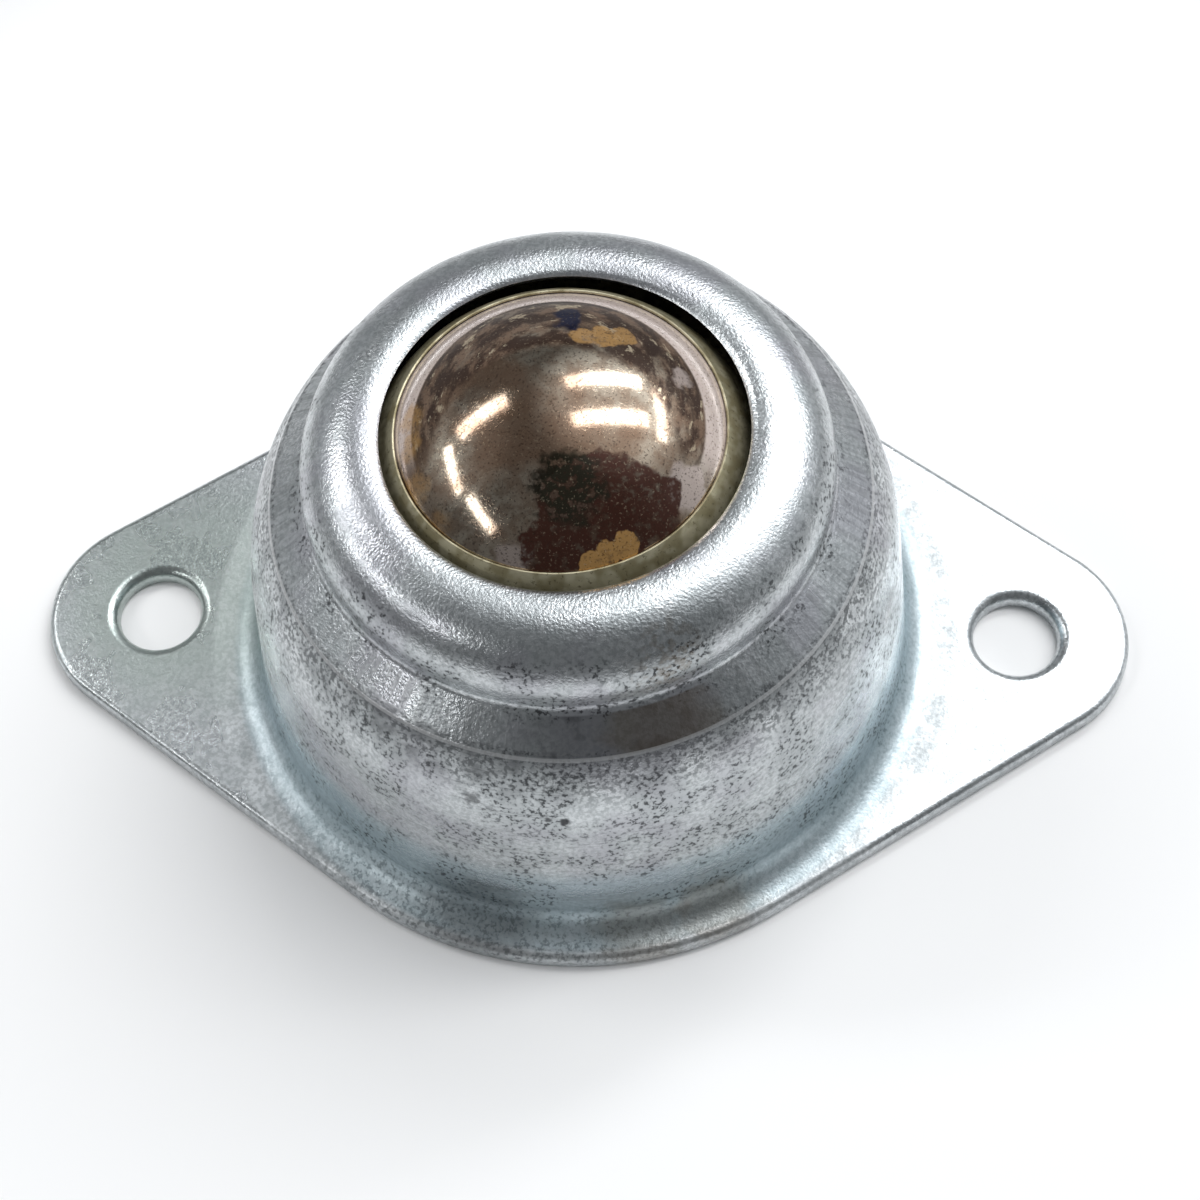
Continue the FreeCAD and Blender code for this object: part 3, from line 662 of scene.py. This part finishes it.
@dataclass(frozen=True)
class YellowPassivate:
    """Thin pressed steel under a yellow passivated zinc film, which gives an olive metal."""

    light: str = "#C0B99D"
    deep: str = "#8F8668"
    grime: str = "#4A4029"
    metallic: float = 0.65  # the film is part paint
    roughness: float = 0.34
    film_roughness: float = 0.12  # what the film adds to it
    film = Grain(1.5, 0.36, 0.62)
    specks = Grain(0.25, 0.58, 0.68, 3.0)

    def build(self) -> bpy.types.Material:
        """Makes the material.

        Returns:
            The finished material.
        """
        paint = Paint("yellow_passivated_pressed_steel")
        film = paint.patches(self.film)
        specks = paint.overlap(0.6, paint.patches(self.specks))
        tone = paint.coats(self.light, (self.deep, film), (self.grime, specks))
        roughness = paint.add(
            "Math", (film, self.film_roughness, self.roughness), operation="MULTIPLY_ADD"
        )
        return paint.finish(
            {"Metallic": self.metallic, "Base Color": tone, "Roughness": roughness}
        )


@dataclass(frozen=True)
class BareSteel:
    """Hardened bearing steel with a thin film of oil, plain grey with a soft shine."""

    name: str
    light: str
    deep: str
    roughness: float
    film_roughness: float = 0.08  # what the oil adds to it
    film = Grain(3.0, 0.34, 0.66)

    def build(self) -> bpy.types.Material:
        """Makes the material.

        Returns:
            The finished material.
        """
        paint = Paint(self.name)
        film = paint.patches(self.film)
        tone = paint.coats(self.light, (self.deep, film))
        roughness = paint.add(
            "Math", (film, self.film_roughness, self.roughness), operation="MULTIPLY_ADD"
        )
        return paint.finish({"Metallic": 1.0, "Base Color": tone, "Roughness": roughness})


def arc(centre: Point, radius: float, first: float, last: float, step: float = 6.0) -> list[Point]:
    """Points along an arc.

    Args:
        centre: its middle, as radius from the axis and height.
        radius: its own radius.
        first: angle where it starts, in degrees from straight outwards.
        last: angle where it ends.
        step: largest angle between points.

    Returns:
        The points, both ends among them.
    """
    count = max(1, math.ceil(abs(last - first) / step))
    turns = [math.radians(first + (last - first) * n / count) for n in range(count + 1)]
    return [(centre[0] + radius * math.cos(a), centre[1] + radius * math.sin(a)) for a in turns]


def deselect() -> None:
    """Leaves nothing selected, so that an operator acts on the new piece alone."""
    if bpy.context.object and bpy.context.object.mode != "OBJECT":
        bpy.ops.object.mode_set(mode="OBJECT")
    bpy.ops.object.select_all(action="DESELECT")


def pick(obj: bpy.types.Object, kind: str, wanted: Callable[..., bool]) -> int:
    """Selects the vertices, edges or faces of a mesh in edit mode that a test wants.

    Args:
        obj: the object in edit mode.
        kind: VERT, EDGE or FACE.
        wanted: takes a vertex, edge or face and says whether it is wanted.

    Returns:
        How many were selected.
    """
    bpy.ops.mesh.select_mode(type=kind)
    bpy.ops.mesh.select_all(action="DESELECT")
    mesh = bmesh.from_edit_mesh(obj.data)
    pool = {"VERT": mesh.verts, "EDGE": mesh.edges, "FACE": mesh.faces}[kind]
    found = [item for item in pool if wanted(item)]
    for item in found:
        item.select_set(True)
    mesh.select_flush_mode()
    bmesh.update_edit_mesh(obj.data)
    return len(found)


def close(near: float) -> None:
    """Joins points of the mesh in edit mode, turns its faces outwards and ends the edit mode.

    Args:
        near: how close two points have to be, in millimetres.
    """
    bpy.ops.mesh.select_all(action="SELECT")
    bpy.ops.mesh.remove_doubles(threshold=near)
    bpy.ops.mesh.select_all(action="SELECT")
    bpy.ops.mesh.normals_make_consistent(inside=False)
    bpy.ops.object.mode_set(mode="OBJECT")


def turned(name: str, outline: list[Point], steps: int) -> bpy.types.Object:
    """Turns an outline about the upright axis into a shell.

    Args:
        name: the new object's name.
        outline: points as radius and height, in millimetres.
        steps: faces round the axis.

    Returns:
        The object, still in millimetres, with its faces outwards.
    """
    deselect()
    start = (outline[0][0], 0, outline[0][1])
    bpy.ops.mesh.primitive_plane_add(size=1, location=start)
    obj = bpy.context.object
    obj.name = name
    bpy.ops.object.transform_apply(location=True)
    bpy.ops.object.mode_set(mode="EDIT")
    bpy.ops.mesh.select_mode(type="VERT")
    bpy.ops.mesh.select_all(action="SELECT")
    bpy.ops.mesh.merge(type="CENTER")
    for before, after in zip(outline, outline[1:]):
        move = (after[0] - before[0], 0, after[1] - before[1])
        bpy.ops.mesh.extrude_vertices_move(TRANSFORM_OT_translate={"value": move})
    bpy.ops.mesh.select_all(action="SELECT")
    bpy.ops.mesh.spin(
        steps=steps, angle=math.tau, center=(0, 0, 0), axis=(0, 0, 1), use_auto_merge=True
    )
    close(SAME)
    return obj


def settle(
    obj: bpy.types.Object,
    place_mm: Place,
    finish: bpy.types.Material,
    body: Body,
    slot: Slot,
    nodes: Iterable[str],
    sharp: float = 40.0,
) -> bpy.types.Object:
    """Brings a piece from millimetres to its place in metres, and dresses it.

    Args:
        obj: the piece, modelled about its own middle.
        place_mm: where that middle goes.
        finish: its material.
        body: the rigid body that it rides on.
        slot: its slot in the record; not used.
        nodes: the solids that it stands for.
        sharp: angle in degrees past which an edge stays sharp.

    Returns:
        The piece.
    """
    deselect()
    obj.select_set(True)
    bpy.context.view_layer.objects.active = obj
    obj.scale = (MM, MM, MM)
    obj.location = tuple(value * MM for value in place_mm)
    bpy.ops.object.transform_apply(location=True, rotation=True, scale=True)
    bpy.ops.object.shade_smooth_by_angle(angle=math.radians(sharp))
    even = obj.modifiers.new("even_normals", "WEIGHTED_NORMAL")
    even.keep_sharp = True
    bpy.ops.object.modifier_apply(modifier=even.name)
    obj.data.materials.clear()
    obj.data.materials.append(finish)
    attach(obj, body.value)
    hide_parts(*nodes)
    REPORT.info("%s: %d faces", obj.name, len(obj.data.polygons))
    return obj


@dataclass
class Housing:
    """The pressing: drawn shell with a rolled lip and a step, and a flange with two ears."""

    finish: bpy.types.Material
    wall: float = 1.3
    step_back: float = 0.6  # degrees of the dome's arc that the step's round takes
    step_round: tuple[Point, ...] = ((0.04, 0.03), (0.14, 0.13))  # in and up from its corner
    mouth_round: float = 0.25
    mouth_corner: Point = (0.09, 0.28)  # shares of the sheet's thickness where its round bends
    ledge_width: float = 2.4
    ledge_slope: float = 40.5
    ledge_bend: float = 0.7
    neck_rise: float = 1.1
    lip_radius: float = 3.9
    mouth_reach: float = 13.626  # from the ball's centre to the mouth's lower edge
    mouth_flare: float = 0.65
    dome_radius: float = 13.74
    dome_rise: float = 7.3
    dome_middle: float = 6.96  # middle of the dome's arc, from the axis
    skirt_lean: float = 5.0  # degrees that the wall flares outwards to its foot
    foot_radius: float = 2.0
    flange_land: float = 0.631
    hole_reach: float = 29.0
    hole_radius: float = 2.8
    ear_radius: float = 7.5
    hole_round: float = 0.8
    edge_round: float = 0.55
    lower_round: float = 0.2
    step_height: float = 18.7
    ball_height: float = 17.3
    steps: int = 256
    ear_steps: int = 128
    hole_steps: int = 96
    round_steps: int = 6
    flat: float = 0.5  # degrees up to which two faces are one
    corner: float = 1.0  # radians past which two faces make a corner
    near: float = 0.01  # how far a point may be from what it lies on
    weld: float = 0.004  # how far apart the shell's points and the plate's may be

    @property
    def spring(self) -> float:
        """Height of the middle of the dome's arc."""
        return self.step_height - self.dome_rise

    @property
    def seam(self) -> float:
        """Radius at which the foot's bend meets the flat of the flange.

        Returns:
            That radius.
        """
        lean = math.radians(self.skirt_lean)
        drop = self.spring - self.wall - self.foot_radius
        reach = self.dome_radius + self.foot_radius + drop * math.sin(lean)
        return self.dome_middle + reach / math.cos(lean)

    def section(self) -> list[Point]:
        """Half section of the shell, open at the flange.

        Returns:
            Its points, from the top of the foot over the mouth to the foot's underside.
        """
        wall, lean = self.wall, self.skirt_lean
        heel = (self.seam, wall + self.foot_radius)
        curve = (self.dome_middle, self.spring)
        step_x = curve[0] + math.sqrt(self.dome_radius**2 - self.dome_rise**2)
        step_angle = math.degrees(math.asin(self.dome_rise / self.dome_radius))
        neck = step_x - self.ledge_width
        slope = math.radians(self.ledge_slope)
        neck_foot = self.step_height + self.ledge_width * math.tan(slope)
        roll = (neck - self.lip_radius, neck_foot + self.neck_rise)

        # The hollow bend touches the neck and the ledge; the corner they would meet at is above.
        cut = self.ledge_bend / math.tan(math.radians((90 + self.ledge_slope) / 2))
        hollow = (neck + self.ledge_bend, neck_foot + cut)
        bend_end = 270 - self.ledge_slope
        away = (math.sin(slope), math.cos(slope))
        fall = away[0] * (step_x - curve[0]) + away[1] * self.dome_rise - wall
        inner = self.dome_radius - wall
        under = 90 - self.ledge_slope - math.degrees(math.acos(fall / inner))

        # Mouth: lower edge on the roll's inside at its reach from the ball, upper edge further in.
        lip_in = self.lip_radius - wall
        low = (roll[0], roll[1] - self.ball_height)
        gap = math.hypot(*low)
        turn = math.acos((self.mouth_reach**2 + gap**2 - lip_in**2) / (2 * self.mouth_reach * gap))
        aim = math.atan2(low[1], low[0]) + turn
        edge_x = self.mouth_reach * math.cos(aim)
        edge_z = self.mouth_reach * math.sin(aim) + self.ball_height
        inner_mouth = math.degrees(math.atan2(edge_z - roll[1], edge_x - roll[0]))
        rim_x = edge_x - self.mouth_flare
        outer_mouth = math.degrees(math.acos((rim_x - roll[0]) / self.lip_radius))
        worn = math.degrees(self.mouth_round / self.lip_radius)

        points = arc(heel, self.foot_radius, 270, 180 + lean, step=5)
        points += arc(curve, self.dome_radius, lean, step_angle - self.step_back, step=2)
        points += [(step_x - back, self.step_height + up) for back, up in self.step_round]
        points += arc(hollow, self.ledge_bend, bend_end, 180, step=8)
        points += arc(roll, self.lip_radius, 0, outer_mouth - worn, step=4)
        top = arc(roll, self.lip_radius, outer_mouth, outer_mouth)[0]
        foot = arc(roll, lip_in, inner_mouth, inner_mouth)[0]
        points += [self.toward(top, foot, share) for share in self.mouth_corner]
        points += arc(roll, lip_in, inner_mouth, 0, step=8)
        points += arc(hollow, self.ledge_bend + wall, 180, bend_end, step=10)
        points += arc(curve, inner, under, lean, step=4)
        points += arc(heel, self.foot_radius + wall, 180 + lean, 270, step=6)
        return points

    @staticmethod
    def toward(start: Point, end: Point, share: float) -> Point:
        """The point at this share of the way from start to end."""
        return (start[0] + (end[0] - start[0]) * share, start[1] + (end[1] - start[1]) * share)

    def disc(
        self, name: str, x: float, radius: float, count: int, depth: float
    ) -> bpy.types.Object:
        """A flat disc of the sheet's thickness, or a punch that runs past both its faces.

        Args:
            name: the new object's name.
            x: where its middle lies along the ears.
            radius: its radius.
            count: faces round its edge.
            depth: its thickness, shared evenly over and under the sheet's middle.

        Returns:
            The disc.
        """
        deselect()
        bpy.ops.mesh.primitive_cylinder_add(
            vertices=count, radius=radius, depth=depth, location=(x, 0, self.wall / 2)
        )
        made = bpy.context.object
        made.name = name
        bpy.ops.object.transform_apply(location=True)
        return made

    def punch(self, plate: bpy.types.Object, x: float, radius: float, count: int) -> None:
        """Cuts a round hole through the plate.

        Args:
            plate: what is cut.
            x: where the hole's middle lies along the ears.
            radius: its radius.
            count: faces round its wall.
        """
        tool = self.disc("punch", x, radius, count, 4 * self.wall)
        deselect()
        plate.select_set(True)
        bpy.context.view_layer.objects.active = plate
        cut = plate.modifiers.new("punched", "BOOLEAN")
        cut.operation = "DIFFERENCE"
        cut.solver = "EXACT"
        cut.object = tool
        bpy.ops.object.modifier_apply(modifier=cut.name)
        bpy.data.objects.remove(tool)

    def flange(self) -> bpy.types.Object:
        """The flat plate with its two ears, holes and rounded edges.

        Returns:
            The plate, open where the shell joins.
        """
        seam = self.seam
        plate = self.disc("flange", 0, seam + self.flange_land, self.steps, self.wall)
        ears = [
            self.disc("ear", sign * self.hole_reach, self.ear_radius, self.ear_steps, self.wall)
            for sign in (1, -1)
        ]
        deselect()
        for piece in (plate, *ears):
            piece.select_set(True)
        bpy.context.view_layer.objects.active = plate
        bpy.ops.object.join()
        bpy.ops.object.mode_set(mode="EDIT")
        bpy.ops.mesh.select_all(action="SELECT")
        bpy.ops.mesh.convex_hull(use_existing_faces=False, join_triangles=True)
        bpy.ops.mesh.select_all(action="SELECT")
        bpy.ops.mesh.dissolve_limited(angle_limit=math.radians(self.flat))
        bpy.ops.object.mode_set(mode="OBJECT")
        self.punch(plate, 0, seam, self.steps)
        for sign in (1, -1):
            self.punch(plate, sign * self.hole_reach, self.hole_radius, self.hole_steps)

        deselect()
        plate.select_set(True)
        bpy.context.view_layer.objects.active = plate
        bpy.ops.object.mode_set(mode="EDIT")

        def lies_on(
            x: float, radius: float, item: bmesh.types.BMEdge | bmesh.types.BMFace
        ) -> bool:
            """Whether an edge or a face lies on a round wall about the upright axis at x or -x."""
            reaches = (math.hypot(abs(v.co.x) - x, v.co.y) for v in item.verts)
            return all(abs(reach - radius) < self.near for reach in reaches)

        def at_height(edge: bmesh.types.BMEdge, height: float) -> bool:
            """Whether an edge lies at a height."""
            return all(abs(v.co.z - height) < self.near for v in edge.verts)

        def is_edge(edge: bmesh.types.BMEdge) -> bool:
            """Whether an edge is a corner of the plate and not where the shell joins."""
            return edge.calc_face_angle(0.0) > self.corner and not on_seam(edge)

        on_hole = partial(lies_on, self.hole_reach, self.hole_radius)
        on_seam = partial(lies_on, 0.0, seam)
        rounds = (
            (self.hole_round, lambda e: is_edge(e) and at_height(e, self.wall) and on_hole(e)),
            (self.edge_round, lambda e: is_edge(e) and at_height(e, self.wall) and not on_hole(e)),
            (self.lower_round, lambda e: is_edge(e) and at_height(e, 0.0)),
        )
        for size, wanted in rounds:
            found = pick(plate, "EDGE", wanted)
            bpy.ops.mesh.bevel(
                offset=size, segments=self.round_steps, affect="EDGES", clamp_overlap=False
            )
            REPORT.info("rounded %d edges of the flange by %.2f mm", found, size)
        pick(plate, "FACE", on_seam)
        bpy.ops.mesh.delete(type="FACE")
        bpy.ops.object.mode_set(mode="OBJECT")
        return plate

    def build(self) -> bpy.types.Object:
        """Models the whole pressing as one closed sheet.

        Returns:
            The housing.
        """
        shell = turned("housing_pressing", self.section(), self.steps)
        plate = self.flange()
        deselect()
        plate.select_set(True)
        shell.select_set(True)
        bpy.context.view_layer.objects.active = shell
        bpy.ops.object.join()
        bpy.ops.object.mode_set(mode="EDIT")
        close(self.weld)
        return settle(
            shell, (0, 0, 0), self.finish, Body.HOUSING, Slot.ZINC, ["housing"], sharp=35.0
        )


@dataclass
class Retainer:
    """The thin cap whose rim is seen as a ring round the ball."""

    finish: bpy.types.Material
    place: Place
    inner: float = 12.74
    wall: float = 0.28
    rim: float = 8.05
    rim_wall: float = 0.2  # the rim is coined thinner than the sheet
    taper: float = 5.0  # degrees round the ball over which it thins
    bend: float = 0.8
    brim_low: float = -0.15
    brim_radius: float = 17.35
    steps: int = 192

    def build(self) -> bpy.types.Object:
        """Models the cap about the ball's centre and sets it there.

        Returns:
            The cap.
        """
        outer = self.inner + self.wall
        top = self.brim_low + self.wall
        bend_z = top + self.bend
        bend_x = math.sqrt((outer + self.bend) ** 2 - bend_z**2)
        foot = math.degrees(math.atan2(bend_z, bend_x))
        rim = math.degrees(math.asin(self.rim / self.inner))
        edge = self.rim_wall / 2
        middle = arc((0, 0), self.inner + edge, rim, rim)[0]
        points = arc((0, 0), self.inner, foot, rim, step=3)
        points += arc(middle, edge, rim + 180, rim, step=30)[1:-1]
        points += arc((0, 0), outer, rim - self.taper, foot, step=3)
        points += arc((bend_x, bend_z), self.bend, 180 + foot, 270, step=10)
        points += [(self.brim_radius, top), (self.brim_radius, self.brim_low)]
        points += arc((bend_x, bend_z), self.bend + self.wall, 270, 180 + foot, step=10)[:-1]
        cap = turned("retainer_cap", [*points, points[0]], self.steps)
        return settle(
            cap, self.place, self.finish, Body.HOUSING, Slot.RETAINER, ["ball_retainer"]
        )


@dataclass
class CastorBall:
    """The large ball."""

    finish: bpy.types.Material
    place: Place
    radius: float = 12.7
    steps: int = 192

    def build(self) -> bpy.types.Object:
        """Turns half a circle into the ball.

        Returns:
            The ball.
        """
        points = arc((0, 0), self.radius, -90, 90, step=2)
        ball = turned("castor_ball", points, self.steps)
        return settle(
            ball, self.place, self.finish, Body.BALL, Slot.BALL, ["main_ball"], sharp=60.0
        )


def place_of(node: str) -> Place:
    """Middle of a solid, in millimetres."""
    low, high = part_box(node)
    return tuple((a + b) / 2 / MM for a, b in zip(low, high))


@dataclass
class Bearings:
    """The cup, the closing ring and the small balls, which keep their own solids."""

    ring_finish: bpy.types.Material
    ball_finish: bpy.types.Material
    rings: tuple[str, ...] = ("ball_race", "closing_ring")
    ball_prefix: str = "support_ball"

    def dress(self) -> None:
        """Gives each solid its finish."""
        finishes = {name: self.ring_finish for name in self.rings}
        balls = (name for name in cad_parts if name.startswith(self.ball_prefix))
        finishes |= {name: self.ball_finish for name in balls}
        for name, finish in finishes.items():
            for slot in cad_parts[name].material_slots:
                slot.material = finish
            REPORT.info("%s: dressed as it is", name)


@dataclass(frozen=True)
class TubeLamp:
    """A fluorescent tube seen from the ball between two directions."""

    start: Place
    end: Place
    glow: float
    width: float = 0.07  # metres
    away: float = 0.5  # metres

    def build(self, name: str, aim: Vector) -> None:
        """Hangs the lamp.

        Args:
            name: the lamp's name.
            aim: the point that it faces.
        """
        first = aim + Vector(self.start).normalized() * self.away
        last = aim + Vector(self.end).normalized() * self.away
        light = bpy.data.lights.new(name, "AREA")
        light.shape = "RECTANGLE"
        light.size = (last - first).length
        light.size_y = self.width
        light.energy = self.glow * math.pi * light.size * light.size_y
        lamp = bpy.data.objects.new(name, light)
        lamp.visible_camera = False
        bpy.context.scene.collection.objects.link(lamp)
        middle = (first + last) / 2
        back = (middle - aim).normalized()
        up = back.cross(last - first).normalized()
        turn = Matrix((up.cross(back), up, back)).transposed().to_4x4()
        lamp.matrix_world = Matrix.Translation(middle) @ turn
        REPORT.info("%s hung", name)


@dataclass(frozen=True)
class Glow:
    """A soft bright part of the room round the object."""

    way: Place
    reach: float  # degrees from its middle to its end
    strength: float
    core: float = 0.25  # share of its reach over which it is full


@dataclass
class Studio:
    """Pale floor, ceiling lamps, a soft room and the camera."""

    floor_size: float = 4.0  # metres
    floor_drop: float = 0.02  # millimetres under the flange, so that the two faces stay apart
    floor_tone: str = "#F9F9F9"
    # Painted shade: the grey that the floor turns far from the object.
    floor_far_shade: str = "#A4A4A4"
    floor_fade: Point = (58.0, 120.0)  # millimetres from the axis
    floor_roughness: float = 0.9
    room_tone: str = "#F4F7FA"
    room_level: float = 0.2
    wall_glow: float = 0.27
    wall_top: float = 24.0  # degrees over the horizon to which the pale walls behind reach
    wall_fade: float = 0.02
    wall_turn: float = 0.35  # how far to either side they fade in
    lens: float = 75.34
    sensor: float = 36.0
    nearest: float = 0.01  # metres
    place_mm: Place = (11.65, -80.12, 150.22)
    aim_mm: Place = (1.952, 4.632, 2.0)
    right: Place = (0.99801, 0.05211, -0.0355)
    shift: Point = (-0.0129, -0.035)
    glows: tuple[Glow, ...] = (
        Glow((0.42, 0.4, 0.82), 44.0, 1.3),
        Glow((-0.8, 0.05, 0.6), 30.0, 0.35),
        Glow((0.9, 0.2, 0.3), 50.0, 0.3),
    )
    tubes: tuple[TubeLamp, ...] = (
        TubeLamp((-0.003, 0.56, 0.828), (0.518, 0.65, 0.556), 8.0, 0.065),
        TubeLamp((0.079, 0.207, 0.975), (0.654, 0.342, 0.675), 8.0),
        TubeLamp((0.606, 0.641, 0.471), (0.776, 0.198, 0.598), 6.0, 0.045),
        TubeLamp((-0.805, 0.198, 0.56), (-0.464, 0.419, 0.781), 8.0),
        TubeLamp((-0.872, 0.143, 0.469), (-0.825, -0.269, 0.496), 6.0, 0.045),
        TubeLamp((-0.766, -0.329, 0.552), (-0.573, -0.647, 0.502), 6.0, 0.045),
    )

    def build(self) -> None:
        """Sets everything up."""
        self.floor()
        self.room()
        aim = Vector(place_of("main_ball")) * MM
        for number, tube in enumerate(self.tubes, start=1):
            tube.build(f"tube_lamp_{number}", aim)
        self.camera()

    def floor(self) -> None:
        """A plain white card that turns pale grey far from the object: painted shade for the dim
        room that the metal mirrors near the horizon.
        """
        deselect()
        low = (0, 0, -self.floor_drop * MM)
        bpy.ops.mesh.primitive_plane_add(size=self.floor_size, location=low)
        floor = bpy.context.object
        floor.name = "floor"
        paint = Paint("matt_white_card")
        # Painted shade far from the object.
        far = paint.add("MapRange", (paint.radius, *self.floor_fade), **SMOOTH)
        tone = paint.coats(self.floor_tone, (self.floor_far_shade, far))
        floor.data.materials.append(paint.finish(
            {"Base Color": tone, "Roughness": self.floor_roughness, "Specular IOR Level": 0.0}
        ))

    def room(self) -> None:
        """A dim room with soft bright parts where its lamps and windows are."""
        world = bpy.data.worlds.new("room")
        bpy.context.scene.world = world
        world.use_nodes = True
        world.node_tree.nodes.clear()
        add = partial(add_node, world.node_tree)
        way = add("TexCoord", out="Generated")
        level: Source = self.room_level
        for glow in self.glows:
            middle = tuple(Vector(glow.way).normalized())
            facing = add("VectorMath", (way, middle), "Value", operation="DOT_PRODUCT")
            edge = math.cos(math.radians(glow.reach))
            core = math.cos(math.radians(glow.reach * glow.core))
            patch = add("MapRange", (facing, edge, core, 0.0, glow.strength), **SMOOTH)
            level = add("Math", (patch, level), operation="ADD")
        parts = add("SeparateXYZ", (way,)).node.outputs
        top = math.sin(math.radians(self.wall_top))
        ends = (top + self.wall_fade, top - self.wall_fade)
        wall = add("MapRange", (parts["Z"], *ends), **SMOOTH)
        sides = (-self.wall_turn, self.wall_turn)
        behind = add("MapRange", (parts["Y"], *sides, 0.0, self.wall_glow), **SMOOTH)
        level = add("Math", (wall, behind, level), operation="MULTIPLY_ADD")
        add("OutputWorld", {"Surface": add("Background", (self.room_tone, level))})

    def camera(self) -> None:
        """The camera at the photograph's place, turned and framed as it was."""
        lens = bpy.data.cameras.new("camera")
        lens.lens = self.lens
        lens.sensor_width = self.sensor
        lens.shift_x, lens.shift_y = self.shift
        lens.clip_start = self.nearest
        camera = bpy.data.objects.new("camera", lens)
        bpy.context.scene.collection.objects.link(camera)
        place, aim = Vector(self.place_mm) * MM, Vector(self.aim_mm) * MM
        back = (place - aim).normalized()
        up = back.cross(Vector(self.right)).normalized()
        turn = Matrix((up.cross(back), up, back)).transposed().to_4x4()
        camera.matrix_world = Matrix.Translation(place) @ turn
        bpy.context.scene.camera = camera


def main() -> None:
    """Builds and dresses every piece, then the studio, and reports each."""
    logging.basicConfig(level=logging.INFO, format="%(message)s")
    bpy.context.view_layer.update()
    bpy.context.scene.view_settings.view_transform = "Standard"

    ball_place = place_of("main_ball")
    Housing(ZincPlate().build()).build()
    Retainer(YellowPassivate().build(), ball_place).build()
    CastorBall(TarnishedBall().build(), ball_place).build()
    Bearings(
        BareSteel("hardened_race_steel", "#8E8E8C", "#787876", 0.3).build(),
        BareSteel("ground_bearing_balls", "#C4C4C4", "#A0A0A0", 0.12).build(),
    ).dress()

    Studio().build()


if __name__ == "__main__":
    main()
